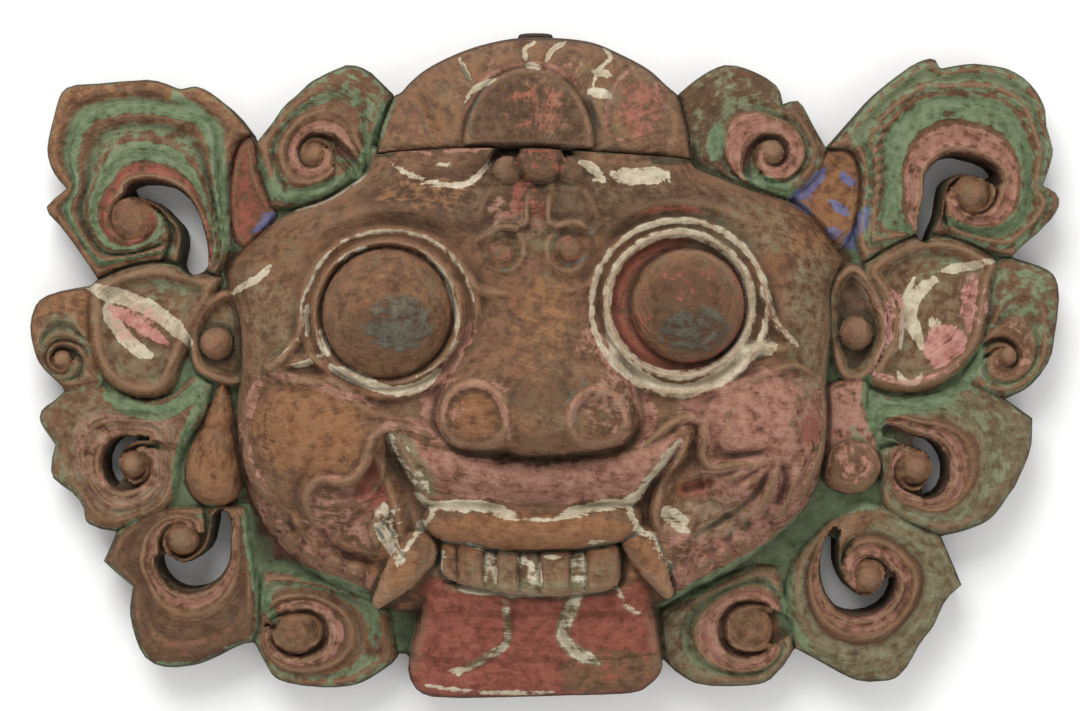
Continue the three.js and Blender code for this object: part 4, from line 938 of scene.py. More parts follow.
# Brush strokes left on the wood, by colour: cover (0.5 sparse, 1 whole), half width, points.
STROKES = {
    # the dulled lip and the veins of the tongue
    "film": [
        (0.9, 8, [(-98, -48), (-90, -58), (-83, -70), (-76, -84)]),
        (0.9, 3, [(-27, -158), (-25, -185), (-38, -195), (-58, -207)]),
        (0.9, 5.4, [(22, -154), (15, -168), (12, -180), (17, -190), (35, -200)]),
    ],
    # the rim of the left ear
    "amber": [
        (0.66, 4, [(-309, 40), (-306, 8), (-299, -8), (-286, -18), (-270, -22), (-254, -17), (-245, -4)]),
    ],
    # the lip, the crown's arch, the bands of the cheeks and the nose, the right ear
    "pink": [
        (0.74, 13, [(-95, -52), (-76, -66), (-50, -74), (0, -79), (44, -74), (66, -66), (84, -52)]),
        (0.75, 1.4, [(59, 199), (47, 187), (41, 169), (43, 152), (57, 147)]),
        (0.62, 1.2, [(-52, 170), (-38, 192), (-10, 201), (14, 194), (28, 176)]),
        (0.6, 1.2, [(-118, 143), (-60, 142), (-36, 142)]),
        (0.62, 1.2, [(-45, 214), (-36, 204), (-38, 196)]),
        (0.6, 3, [(-190, -9), (-165, -10), (-135, -19), (-112, -26)]),
        (0.62, 5, [(-190, -12), (-199, -31), (-201, -53), (-196, -71), (-184, -90)]),
        (0.66, 2.6, [(-104, -42), (-113, -48), (-117, -64), (-128, -76), (-146, -75), (-156, -84),
            (-155, -100)]), (0.62, 5, [(-74, -12), (-76, -30), (-70, -46), (-84, -40), (-104, -41)]),
        (0.56, 8, [(-190, -90), (-176, -118), (-150, -132), (-116, -146)]),
        (0.64, 10, [(86, -146), (110, -130), (140, -115), (176, -88)]),
        (0.98, 3, [(-68, -46), (-67, -30), (-58, -17), (-46, -12), (-34, -17), (-26, -30), (-24, -46)]),
        (0.86, 3, [(16, -40), (20, -24), (34, -16), (48, -22), (53, -38), (50, -50)]),
        (0.64, 5, [(28, 24), (42, 4), (58, -16), (68, -36), (62, -52)]),
        (0.64, 5, [(-46, 26), (-58, 8), (-71, -12), (-74, -34), (-66, -50)]),
        (0.75, 3.2, [(150, -153), (160, -142), (172, -120)]), (0.75, 2, [(220, 49), (231, 22), (222, -2)]),
    ],
    # the brow, the nose and the left temple
    "red": [
        (0.6, 2, [(66, 100), (84, 104), (106, 100)]), (0.52, 8, [(-14, 120), (-12, 104), (-2, 92)]),
        (0.7, 2, [(-214, 44), (-208, 34), (-207, 22)]),
    ],
    # a tooth's gap, and the web between the face and the leaves
    "green": [
        (0.44, 5, [(22, -126), (22, -149)]),
        (0.85, 5, [(-203, -101), (-194, -128), (-165, -141), (-125, -154), (-113, -182)]),
        (0.8, 4.5, [(-203, -101), (-197, -130), (-193, -151), (-183, -175)]),
        (0.92, 6, [(80, -163), (120, -141), (150, -126), (180, -102), (222, -94)]),
        (0.8, 4, [(167, -137), (163, -160), (167, -178), (182, -196)]),
        (0.95, 6, [(218, -10), (222, -30), (240, -29), (263, -25), (284, -10), (297, 12)]),
        (0.85, 6, [(221, -30), (226, -44), (236, -54)]),
        (0.9, 5.5, [(-297, -21), (-280, -30), (-263, -33), (-245, -26), (-230, -10)]),
        (0.85, 3.4, [(-226, -14), (-243, -47), (-250, -77), (-247, -92), (-232, -104)]),
        (0.9, 5, [(-250, 182), (-232, 165), (-221, 143), (-219, 97), (-215, 78)]),
        (0.9, 5, [(-191, 133), (-181, 114), (-158, 115), (-134, 125), (-119, 143), (-103, 179)]),
        (0.8, 6, [(117, 160), (114, 140)]), (0.95, 5, [(136, 128), (152, 121), (170, 115)]),
    ],
    # beside the brow, mostly on the right
    "blue": [
        (0.9, 3.5, [(-200, 90), (-191, 96), (-184, 102)]), (0.7, 4, [(167, 112), (178, 118), (189, 131)]),
        (0.75, 2.5, [(167, 110), (179, 103)]), (0.7, 3, [(201, 127), (210, 122)]),
        (0.65, 3, [(194, 110), (205, 102)]), (0.75, 3.5, [(217, 105), (213, 92), (203, 81)]),
        (0.6, 3.5, [(193, 91), (201, 85), (210, 78)]),
    ],
    # the rims and corners of the eyes; lip, gum, teeth and cracked paint by the fangs; brow and crown;
    # flakes of white ground on the ears; the veins of the tongue
    "cream": [
        (0.95, 1.3, [(-183, -2), (-172, 8), (-162, 20), (-161, 40), (-155, 55), (-148, 68), (-135, 80),
            (-120, 86), (-100, 88.5), (-80, 84), (-65, 75), (-55, 63), (-48, 48), (-46, 38)]),
        (0.9, 1.5, [(-140, 66), (-128, 74), (-118, 77)]),
        (0.9, 1.7, [(-88, 78), (-75, 70), (-65, 58), (-60, 45), (-57, 30), (-60, 12), (-70, 0), (-85, -9)]),
        (0.9, 3.8, [(-140, -2), (-125, -8), (-110, -15), (-95, -18), (-80, -14), (-70, -4)]),
        (0.62, 2.2, [(-158, 38), (-159, 28), (-158, 20)]), (0.64, 2.6, [(-150, 22), (-147, 14), (-143, 6)]),
        (0.66, 2.2, [(-168, 0), (-158, 1), (-148, 5)]),
        (0.9, 4.4, [(42, 20), (48, 6), (60, -7), (80, -17), (100, -16), (128, 2)]),
        (0.85, 5.4, [(128, 6), (140, 10), (152, 11)]),
        (0.9, 2.4, [(143, 52), (147, 40), (153, 27), (167, 12)]),
        (0.56, 4.6, [(-101, -48), (-93, -58), (-86, -70), (-78, -84)]),
        (0.74, 3.8, [(-84, -86), (-74, -92), (-56, -93), (-40, -93), (-30, -96), (-20, -99)]),
        (0.95, 1.1, [(-36, -98), (-24, -101), (-5, -101.5), (8, -101), (24, -97)]),
        (0.76, 3.6, [(8, -100), (30, -94), (50, -91), (58, -88), (64, -81)]),
        (0.72, 3, [(60, -88), (66, -77), (74, -66), (88, -50)]),
        (0.85, 2.2, [(-72, -94), (-78, -104), (-88, -117), (-92, -122)]),
        (0.9, 2.2, [(54, -93), (59, -104), (64, -111), (72, -112)]), (0.43, 4, [(-36, -124), (-36, -150)]),
        (0.5, 4.6, [(-15, -127), (-11, -136), (-9, -150)]), (0.62, 1.3, [(-3.5, -132), (-3, -147)]),
        (0.41, 5, [(22, -126), (22, -149)]), (0.58, 1.4, [(-62, -149), (-30, -152), (0, -152), (40, -149)]),
        (0.62, 1.6, [(-66, -121), (-68, -134), (-64, -144)]), (0.8, 1.5, [(28, -117), (38, -116)]),
        (0.8, 1.2, [(-50, -118), (-42, -121), (-37, -125)]), (0.95, 1.6, [(-1, -127), (13, -127)]),
        (0.6, 4.8, [(-106, -94), (-109, -108), (-101, -120), (-95, -129)]),
        (0.56, 4, [(-97, -94), (-99, -106), (-100, -118)]),
        (0.58, 5.4, [(76, -98), (84, -100), (94, -109)]), (0.56, 3, [(70, -112), (74, -122), (84, -138)]),
        (0.95, 1.8, [(-103, 134), (-90, 125), (-80, 122), (-70, 118.5), (-55, 118.5), (-48, 121),
            (-42, 127), (-37, 134)]), (0.8, 1.6, [(-71, 132), (-63, 131)]),
        (0.8, 3, [(23, 133), (32, 129), (38, 121)]), (0.92, 5.5, [(46, 125), (60, 124), (80, 125)]),
        (0.9, 1.4, [(-117, 129), (-135, 116), (-150, 108), (-168, 104)]),
        (0.95, 2.6, [(-210, 48), (-200, 53), (-190, 58), (-183, 65)]),
        (0.75, 1.4, [(-58, 206), (-54, 198), (-50, 190)]),
        (0.8, 1.8, [(-53, 174), (-50, 180), (-44, 185), (-31, 190)]),
        (0.8, 1.8, [(14, 217), (5, 211), (1, 203)]), (0.8, 1.8, [(-7, 216), (-13, 212), (-13, 204)]),
        (0.8, 2.4, [(-12, 200), (-4, 197)]), (0.8, 1.6, [(40, 212), (44, 205), (36, 197), (32, 186)]),
        (0.85, 2.8, [(33, 195), (44, 193)]), (0.85, 3.6, [(30, 181), (42, 179)]),
        (0.84, 5.5, [(-309, 52), (-296, 48), (-278, 42), (-262, 34), (-250, 24), (-240, 14)]),
        (0.8, 5, [(-297, 38), (-288, 22), (-276, 10), (-268, 6)]),
        (0.8, 2, [(240, 11), (243, 40), (250, 58)]),
        (0.95, 4.4, [(255, 12), (248, 32), (252, 47), (264, 57)]), (0.62, 4, [(262, 30), (268, 22)]),
        (0.85, 3, [(270, 63), (286, 66), (304, 70)]),
        (0.85, 2.4, [(239, -6), (242, -12), (250, -13), (255, -8)]),
        (0.46, 2.4, [(-27, -158), (-25, -185), (-38, -195), (-58, -207)]),
        (0.5, 4.2, [(22, -154), (15, -168), (12, -180), (17, -190), (35, -200)]),
        (0.7, 2, [(-64, -206), (-55, -204)]), (0.58, 1.6, [(-80, -216), (-40, -221), (5, -221)]),
        (0.56, 1.4, [(48, -149), (54, -160), (66, -168)]),
    ],
    # what is left on the white ground of the ears
    "rose": [
        (0.9, 3.6, [(-294, 38), (-280, 29), (-266, 20), (-256, 14)]),
        (0.66, 2.4, [(220, -6), (243, -13), (262, -9), (280, -1)]),
    ],
    # the line over the teeth, cracks by the fangs, grooves of the crown and the brow
    "dark": [
        (0.8, 1.3, [(-78, -117), (-56, -117), (-42, -119), (-32, -124), (-8, -125), (8, -123), (20, -124),
            (30, -120), (46, -118), (56, -113), (66, -111)]), (0.9, 1, [(-108, -102), (-102, -110)]),
        (0.9, 0.9, [(-101, -98), (-98, -107), (-101, -115)]), (0.9, 0.9, [(-99, -118), (-93, -127)]),
        (0.85, 0.9, [(-113, -107), (-107, -115)]),
        (0.7, 1.6, [(-50, 150), (-49, 164), (-44, 176), (-32, 188)]), (0.7, 1, [(-56, 200), (-50, 188)]),
        (0.7, 1, [(-94, 178), (-84, 168), (-78, 150)]), (0.6, 1, [(30, 178), (36, 160), (44, 148)]),
        (0.62, 1.4, [(-46, 92), (-42, 76), (-32, 62), (-18, 64)]),
        (0.6, 1.4, [(30, 92), (30, 76), (22, 66), (8, 64)]),
    ],
}
# Broad places of each colour: cover, centre, half sizes.
PATCHES = {
    "film": [(0.26, (-10, 104), (70, 30)), (0.3, (60, 112), (90, 16)), (0.6, (180, 30), (24, 56)),
        (0.45, (-190, 30), (30, 44)), (0.38, (20, -24), (44, 26)), (0.5, (-10, -138), (64, 14)),
        (1, (-8, -148), (60, 6)), (0.5, (130, 90), (44, 22)), (0.34, (40, 165), (60, 44)),
        (0.6, (110, -100), (30, 16)), (0.5, (-14, 84), (30, 16))],
    "umber": [(0.56, (-112, -80), (13, 18)), (0.7, (-6, -72), (80, 12)), (0.84, (-11, 150), (42, 50)),
        (0.84, (0, 108), (130, 26)), (0.52, (94, 40), (36, 36)), (0.5, (-70, 110), (50, 12)),
        (0.5, (-104, 20), (40, 26)), (0.56, (-100, -66), (8, 24)), (0.55, (80, -70), (8, 24)),
        (0.5, (-200, 120), (14, 30)), (0.5, (0, -20), (30, 16))],
    "amber": [(0.68, (-156, -44), (42, 34)), (0.46, (0, 24), (30, 46)), (0.7, (-46, -34), (18, 17)),
        (0.58, (178, 84), (20, 18)), (0.95, (-10, -112), (76, 15)), (0.8, (70, -136), (15, 24)),
        (0.85, (-98, -140), (20, 24)), (0.45, (-104, 48), (36, 26)), (0.5, (-84, 112), (40, 16)),
        (0.46, (-84, 160), (24, 26)), (0.44, (-14, 182), (22, 14))],
    "pink": [(0.74, (142, -34), (56, 34)), (0.68, (144, -76), (46, 38)), (0.52, (29, 12), (12, 14)),
        (0.5, (-28, -13), (9, 7)), (0.62, (120, -112), (44, 32)), (0.52, (211, 44), (11, 18)),
        (0.52, (44, -26), (22, 24)), (0.5, (-66, -24), (16, 22)), (0.56, (68, 172), (16, 22)),
        (0.52, (12, 198), (14, 9)), (0.54, (-130, -104), (32, 26)), (0.47, (-24, 96), (16, 18))],
    "red": [(0.44, (94, 56), (30, 20)), (0.52, (64, 170), (18, 26)), (0.5, (-112, -80), (15, 16)),
        (0.54, (100, -83), (16, 9)), (0.54, (176, -44), (9, 12)), (0.62, (-222, 14), (11, 11)),
        (0.52, (211, 21), (12, 12)), (0.5, (-4, 134), (22, 12)), (0.46, (-12, 96), (18, 16)),
        (0.52, (-29, 74), (10, 10)), (0.52, (16, 76), (10, 10)), (0.46, (-4, 168), (28, 20)),
        (0.52, (110, 6), (22, 12)), (0.5, (66, 30), (10, 30))],
    "rose": [(0.7, (271, 12), (16, 17)), (0.55, (290, 40), (12, 22)), (0.54, (236, 32), (8, 26)),
        (0.52, (-276, 28), (22, 16))],
    "dark": [(0.68, (-95, 26), (25, 20)), (0.7, (97, 21), (28, 17)), (0.5, (-76, -127), (10, 6)),
        (0.4, (22, -16), (12, 10))],
}
# Painted rims of the right eye and the red between them: colour, cover, half width, the ring's middle and
# half sizes.
RINGS = [
    ("red", 0.56, 4, (88.5, 39, 42, 42)), ("cream", 0.92, 2.1, (88.5, 38, 58.5, 57)),
    ("cream", 0.92, 2.9, (88.5, 39.5, 48, 47)),
]
COLOURS = ("film", "umber", "amber", "pink", "red", "green", "blue", "cream", "rose", "dark")
EDGED = ("film", "pink", "red", "blue", "cream", "rose", "dark")  # colours whose edges keep their points
BRUSH_EDGE = 3.4  # how far a stroke takes to fade from whole to bare
WORN_TONGUE = ((46, -210), (42, 22))  # the greyed side of its tip: centre, half sizes


def brush_flow(x, y, places):
    """A length in millimetres whose level lines run the way the brush and the knife went."""
    level = y + 5 * np.sin(x / 37) + 4 * np.sin(x / 17 + y / 29)
    flow = level.copy()
    for name in (*LEAVES, *SCROLLS):
        near, depth = places[name][:2]
        if name in SCROLLS:
            flow[near] = np.where(depth > 0, places[name][4], flow[near])
        else:
            flow[near] = np.where(depth > 0, depth, flow[near])
    near, depth = places["face"]
    flow[near] = np.where(depth > 0, level[near], flow[near])
    for eye in EYES:
        outer = off_ring(x, y, eye["outer"])
        flow = flow + (outer - flow) * ramp(34, 8, np.abs(outer + 20))
    near, depth = places["crown"]
    turn = np.arctan2(y - 120, x + 11)[near]
    flow[near] = np.where(depth > 0, turn * 60, flow[near])
    return flow


def paint(x, y, places):
    """How far each colour covers each point: under 0.5 bare, over 0.5 covered, its edge where it crosses."""
    cover = {colour: np.zeros(x.shape) for colour in COLOURS}

    def lay(colour, near, amount):
        cover[colour][near] = np.maximum(cover[colour][near], amount)

    def clear(name):
        """The part's own place, bare of any colour so far."""
        near, depth = places[name][:2]
        for colour in COLOURS:
            cover[colour][near] = np.where(depth > 0, 0, cover[colour][near])
        return near, depth

    for name, (_, _, _, _, (colour, amount)) in LEAVES.items():
        near, depth = clear(name)
        lay(colour, near, np.where(depth > 0, amount, 0))
    for name, scroll in SCROLLS.items():
        near, depth = clear(name)
        across, knob = places[name][2:4]
        for colour, start, end, amount in scroll["paint"]:
            band = ramp(start - 0.04, start + 0.04, across) * ramp(end + 0.04, end - 0.04, across)
            lay(colour, near, np.where(depth > 0, amount * band, 0))
        lay("amber", near, np.where(knob < 1, 0.45, 0))
        lay("green", near, np.where(across < 0, 0.42 * ramp(1.1, 1.5, knob), 0))
    for name in ("face", "fringe_l", "fringe_r", "crown", "tongue"):
        clear(name)
    for colour, patches in PATCHES.items():
        for amount, centre, half in patches:
            patch = amount * ramp(1.35, 0.65, reach(x, y, centre, half))
            cover[colour] = np.maximum(cover[colour], patch)
    near, depth = places["tongue"]
    grey = ramp(1.2, 0.7, reach(x[near], y[near], *WORN_TONGUE))
    below = (depth > 0) & (y[near] < TEETH_LINE - 15 + tooth_sag(x[near]))
    lay("red", near, np.where(below, 0.92 - 0.5 * grey, 0))
    for colour, amount, half, ring in RINGS:
        stroke = np.clip(0.5 + (half - np.abs(off_ring(x, y, ring))) / BRUSH_EDGE, 0, amount)
        cover[colour] = np.maximum(cover[colour], stroke)
    for colour, strokes in STROKES.items():
        for amount, half, points in strokes:
            line = spline(points)
            near = near_box(x, y, line, half + 3)
            distance, share, _, _ = nearest(x[near], y[near], line)
            thin = half * (0.55 + 0.45 * ramp(0, 0.15, share) * ramp(1, 0.85, share))
            lay(colour, near, np.clip(0.5 + (thin - distance) / BRUSH_EDGE, 0, amount))
    return cover


def add(tree, kind, **settings):
    """A shader node with some of its settings and, by their names, its input values."""
    node = tree.nodes.new(kind)
    for key, value in settings.items():
        if hasattr(node, key):
            setattr(node, key, value)
        else:
            node.inputs[key.replace("_", " ")].default_value = value
    return node


def noise(tree, scale, detail=4.0, roughness=0.55):
    """Noise in the object's own space; scale is in features per metre."""
    place = add(tree, "ShaderNodeTexCoord")
    made = add(tree, "ShaderNodeTexNoise", Scale=scale, Detail=detail, Roughness=roughness)
    tree.links.new(place.outputs["Object"], made.inputs["Vector"])
    return made.outputs["Fac"]


def attribute(tree, name):
    """One of the mesh's own values, from point to point."""
    return add(tree, "ShaderNodeAttribute", attribute_name=name).outputs["Fac"]


def maths(tree, operation, first, second):
    """A maths node's result for two values or numbers."""
    node = add(tree, "ShaderNodeMath", operation=operation)
    for socket, value in zip(node.inputs, (first, second)):
        if isinstance(value, (int, float)):
            socket.default_value = value
        else:
            tree.links.new(value, socket)
    return node.outputs[0]


def stretched(tree, value, low, high, start=0.0, end=1.0):
    """A value taken from low..high to start..end, with soft ends."""
    node = add(tree, "ShaderNodeMapRange", interpolation_type="SMOOTHSTEP")
    tree.links.new(value, node.inputs["Value"])
    for name, number in (("From Min", low), ("From Max", high), ("To Min", start), ("To Max", end)):
        node.inputs[name].default_value = number
    return node.outputs["Result"]


def linear(channel):
    """One channel of an sRGB colour, 0 to 255, as linear light."""
    c = channel / 255
    return c / 12.92 if c <= 0.04045 else ((c + 0.055) / 1.055) ** 2.4


def shades(tree, value, stops):
    """A colour ramp through (place, (red, green, blue)) in sRGB of 0 to 255."""
    node = add(tree, "ShaderNodeValToRGB")
    elements = node.color_ramp.elements
    for place, colour in stops[1:-1]:
        elements.new(place)
    for element, (place, colour) in zip(elements, stops):
        element.position = place
        element.color = (*[linear(c) for c in colour], 1)
    tree.links.new(value, node.inputs["Fac"])
    return node.outputs["Color"]


def evenly(*colours):
    """Three colours as the stops of a ramp."""
    return list(zip((0, 0.5, 1), colours))


def mixed(tree, share, under, over):
    """One colour over another."""
    node = add(tree, "ShaderNodeMix", data_type="RGBA", blend_type="MIX")
    colours = [socket for socket in node.inputs if socket.type == "RGBA"]
    tree.links.new(share, node.inputs[0])
    for socket, value in zip(colours, (under, over)):
        if isinstance(value, tuple):
            socket.default_value = (*[linear(c) for c in value], 1)
        else:
            tree.links.new(value, socket)
    return [socket for socket in node.outputs if socket.type == "RGBA"][0]


def streaks(tree):
    """Noise drawn out along the level lines of the mesh's flow attribute."""
    flow = attribute(tree, "flow")
    lines = add(tree, "ShaderNodeCombineXYZ")
    tree.links.new(maths(tree, "MULTIPLY", flow, 0.42), lines.inputs["X"])
    tree.links.new(maths(tree, "MULTIPLY", flow, 0.3), lines.inputs["Y"])
    place = add(tree, "ShaderNodeTexCoord")
    shape = add(tree, "ShaderNodeMapping", Scale=(55, 55, 30))
    total = add(tree, "ShaderNodeVectorMath", operation="ADD")
    made = add(tree, "ShaderNodeTexNoise", Scale=1.0, Detail=5.0, Roughness=0.6)
    tree.links.new(place.outputs["Object"], shape.inputs["Vector"])
    tree.links.new(shape.outputs["Vector"], total.inputs[0])
    tree.links.new(lines.outputs["Vector"], total.inputs[1])
    tree.links.new(total.outputs["Vector"], made.inputs["Vector"])
    return made.outputs["Fac"]


def new_material(name):
    """A material with its node tree and its shader."""
    material = bpy.data.materials.new(name)
    material.use_nodes = True
    return material, material.node_tree, material.node_tree.nodes["Principled BSDF"]


def roughened(tree, shader, relief, strength, distance):
    """Fine relief on a shader's surface."""
    raised = add(tree, "ShaderNodeBump", Strength=strength, Distance=distance)
    tree.links.new(relief, raised.inputs["Height"])
    tree.links.new(raised.outputs["Normal"], shader.inputs["Normal"])


# The paints over the wood, lowest first: name, raggedness of the edge, thickness, dark to pale shade.
PAINTS = [
    ("umber", 0.8, 0.85, (50, 36, 27), (72, 53, 39), (98, 75, 57)),
    ("amber", 0.8, 0.6, (92, 60, 40), (124, 82, 53), (144, 104, 72)),
    ("pink", 1.0, 0.7, (104, 66, 55), (140, 94, 80), (170, 128, 112)),
    ("red", 0.9, 0.85, (84, 46, 38), (120, 64, 52), (146, 84, 70)),
    ("green", 1.0, 0.85, (64, 78, 56), (88, 108, 78), (112, 131, 102)),
    ("blue", 0.7, 0.85, (66, 66, 92), (84, 86, 124), (106, 110, 140)),
    ("cream", 0.9, 0.92, (128, 114, 90), (168, 154, 129), (196, 186, 163)),
    ("rose", 0.9, 0.9, (132, 84, 76), (164, 108, 99), (188, 142, 131)),
    ("dark", 1.4, 0.75, (40, 39, 35), (58, 58, 51), (94, 95, 84)),
]
GREY_FILM = ((68, 66, 46), (98, 95, 70), (126, 124, 98))  # it lies over the green and under what follows
# Stains of the bare wood: colour, noise in features per metre, and where its patches start.
STAINS = [
    ((124, 84, 56), 37, 0.46), ((120, 80, 64), 53, 0.48), ((98, 92, 70), 61, 0.5), ((76, 55, 41), 90, 0.52),
]
# the dark brown laid in the hollows and low on the walls: painted shade, with some dirt
DIRT_AND_SHADE = (44, 32, 24)
SPECKS = (70, 50, 38)
WORN_WOOD = (148, 118, 92)


def old_paint(name, wood):
    """Carved wood with old water paint, which flakes off along ragged edges, and dirt with painted shade in
    the hollows.
    """
    material, tree, shader = new_material(name)

    def total(*values):
        result = values[0]
        for value in values[1:]:
            result = maths(tree, "ADD", result, value)
        return result

    def weighed(*parts):
        return total(*[maths(tree, "MULTIPLY", value, weight) for value, weight in parts])

    def centred(value, amount):
        return maths(tree, "MULTIPLY", maths(tree, "SUBTRACT", value, 0.5), amount)

    blotches = noise(tree, 75, 5.0, 0.6)
    flakes = noise(tree, 150, 3.0, 0.5)
    fine = noise(tree, 480)
    streak = streaks(tree)
    # deep: the hollow attribute, which also drives the painted shade in the hollows and low on the walls
    deep = attribute(tree, "hollow")
    shade = stretched(tree, weighed((blotches, 0.35), (flakes, 0.35), (streak, 0.2), (fine, 0.2)), 0.3, 0.7)
    colour = shades(tree, shade, evenly(*wood))
    for stain, scale, start in STAINS:
        patch = total(noise(tree, scale, 5.0, 0.6), centred(flakes, 0.3))
        colour = mixed(tree, stretched(tree, patch, start, start + 0.24, 0.0, 0.5), colour, stain)
    torn = total(
        centred(flakes, 0.6), centred(streak, 0.5), centred(blotches, 0.6), centred(fine, 0.2),
        maths(tree, "MULTIPLY", deep, 0.22),
    )
    film = stretched(tree, total(attribute(tree, "film"), torn), 0.25, 0.95, 0.0, 0.75)
    thick = None
    for paint_name, ragged, body, *tones in PAINTS:
        cover = attribute(tree, paint_name)
        share = total(cover, maths(tree, "MULTIPLY", torn, ragged))
        share = stretched(tree, share, 0.42, 0.6, 0.0, body)
        share = maths(tree, "MULTIPLY", share, stretched(tree, cover, 0.02, 0.3))
        colour = mixed(tree, share, colour, shades(tree, shade, evenly(*tones)))
        if paint_name == "green":
            film = maths(tree, "MULTIPLY", film, stretched(tree, cover, 0.84, 0.6))
            colour = mixed(tree, film, colour, shades(tree, shade, evenly(*GREY_FILM)))
        thick = share if thick is None else maths(tree, "MAXIMUM", thick, share)
    # darkens the hollows and the lower walls: painted shade, with some dirt
    shade_and_dirt = stretched(tree, total(deep, centred(fine, 0.6), centred(flakes, 0.8)), 0.05, 1.2)
    colour = mixed(tree, maths(tree, "MULTIPLY", shade_and_dirt, 0.7), colour, DIRT_AND_SHADE)
    specks = total(noise(tree, 260, 5.0, 0.7), centred(blotches, 0.5))
    colour = mixed(tree, stretched(tree, specks, 0.6, 0.7, 0.0, 0.22), colour, SPECKS)
    worn = stretched(tree, total(deep, centred(flakes, 0.9)), -0.25, -1.0)
    colour = mixed(tree, maths(tree, "MULTIPLY", worn, 0.45), colour, WORN_WOOD)
    tree.links.new(colour, shader.inputs["Base Color"])
    tree.links.new(stretched(tree, flakes, 0.3, 0.7, 0.7, 0.9), shader.inputs["Roughness"])
    shader.inputs["Specular IOR Level"].default_value = 0.15
    relief = weighed((thick, 0.45), (fine, 0.35), (flakes, 1.3), (streak, 0.9), (blotches, 1.6))
    roughened(tree, shader, relief, 0.7, 0.0016)
    return material


FRONT_FROM = 40  # the painted edges that keep their points lie higher than this
NEAR_ROUND = 3.5  # how far round a point fine carving is looked at for hollows
WIDE_ROUND = 10  # the same for broad carving
SHARP_FROM = 62  # degrees between two faces that keep a sharp edge
WINDOW_ROOM = 4  # room round a solid in the grid of its carving


def coordinates(mesh, what="co"):
    """The places of a mesh's vertices, or another of their vectors, as rows of three."""
    values = np.empty(3 * len(mesh.vertices))
    mesh.vertices.foreach_get(what, values)
    return values.reshape(-1, 3)


def store(mesh, name, values):
    """Keeps a value for each vertex, which the material reads."""
    layer = mesh.attributes.new(name, "FLOAT", "POINT")
    layer.data.foreach_set("value", values.astype(np.float32))


def thinned(piece):
    """A copy of a piece's mesh with fewer triangles, but most of its points at the edges of paint."""
    x, y, z = coordinates(piece.data).T
    kept = np.zeros(len(x), bool)
    front = z > FRONT_FROM
    cover = paint(x[front], y[front], carve(x[front], y[front])["places"])
    kept[front] = sum(np.abs(cover[colour] - 0.5) < 0.2 for colour in EDGED) > 0
    group = piece.vertex_groups.new(name="free")
    group.add(np.flatnonzero(~kept).tolist(), 1.0, "REPLACE")
    group.add(np.flatnonzero(kept).tolist(), 0.2, "REPLACE")
    count = sum(len(polygon.vertices) - 2 for polygon in piece.data.polygons)
    fewer = piece.modifiers.new("fewer", "DECIMATE")
    fewer.ratio = min(1, MOST_TRIANGLES / count)
    fewer.vertex_group = "free"
    fewer.vertex_group_factor = 20
    shown = bpy.context.evaluated_depsgraph_get()
    light = bpy.data.meshes.new_from_object(piece.evaluated_get(shown))
    light.name = piece.name
    piece.modifiers.clear()
    return light


def hollowness(x, y, z, facing, height, edge, low):
    """How far each point lies below the carving round it, and how deep down a wall: painted shade with some
    dirt in the hollows, and painted shade low on the walls.
    """
    inside = (edge > 0).astype(float)
    solid = np.where(edge > 0, height, 0)
    near = blurred(solid, inside, round(NEAR_ROUND / STEP)) - solid
    wide = blurred(solid, inside, round(WIDE_ROUND / STEP)) - solid
    hollow = looked_up(near * 0.34 + wide * 0.06, x, y, low) * facing
    # the walls darken towards the back: painted shade
    return hollow + 0.5 * (1 - facing) * ramp(30, 0, z)


def finished(mesh, height, edge, low, material):
    """The mesh with fewer triangles, in metres on its solid, and with its paint."""
    piece = linked(mesh.name, mesh)
    light = thinned(piece)
    piece.data = light
    co = coordinates(light)
    x, y, z = co.T
    up = coordinates(light, "normal")[:, 2]
    places = carve(x, y)["places"]
    cover = paint(x, y, places)
    facing = ramp(-0.1, 0.25, up)
    front = np.maximum(facing, 0.85 * ramp(8, 26, z) * ramp(-0.6, -0.2, up))
    # hollow carries painted shade in the hollows and low on the walls, with some dirt; less of it on the green
    # web
    hollow = hollowness(x, y, z, facing, height, edge, low) * (1 - 0.7 * ramp(0.56, 0.72, cover["green"]))
    for colour in COLOURS:
        store(light, colour, cover[colour] * front)
    store(light, "hollow", hollow)
    store(light, "flow", brush_flow(x, y, places))
    light.vertices.foreach_set("co", ((co + [*shift, 0]) * MM).ravel())
    light.update()
    light.shade_smooth()
    light.set_sharp_from_angle(angle=math.radians(SHARP_FROM))
    light.materials.append(material)
    return piece


mask_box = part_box("mask")
crown_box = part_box("crown_block")
every = np.vstack(list(LINES.values()))
shift = (mask_box[0].x / MM - every[:, 0].min(), mask_box[0].y / MM - every[:, 1].min())


def build(name, box, part, bowl_depth, material):
    """A carved and painted piece that fills a solid's box."""
    low = (box[0].x / MM - shift[0] - WINDOW_ROOM, box[0].y / MM - shift[1] - WINDOW_ROOM)
    high = (box[1].x / MM - shift[0] + WINDOW_ROOM, box[1].y / MM - shift[1] + WINDOW_ROOM)
    mesh, height, edge = carved_mesh(name, part, bowl_depth, low, high)
    return finished(mesh, height, edge, low, material)


painted = old_paint("painted_wood", ((64, 45, 33), (96, 69, 50), (126, 95, 71)))
crown_paint = old_paint("crown_wood", ((68, 48, 35), (102, 75, 56), (130, 101, 76)))

mask = build("mask_carving", mask_box, "head", BOWL_DEPTH, painted)
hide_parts("mask")
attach(mask, "root")

crown = build("crown_carving", crown_box, "crown", 0, crown_paint)
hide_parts("crown_block")
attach(crown, "root")


ROUND_RING = 56  # points round the loop
ROUND_WIRE = 14  # points round the wire


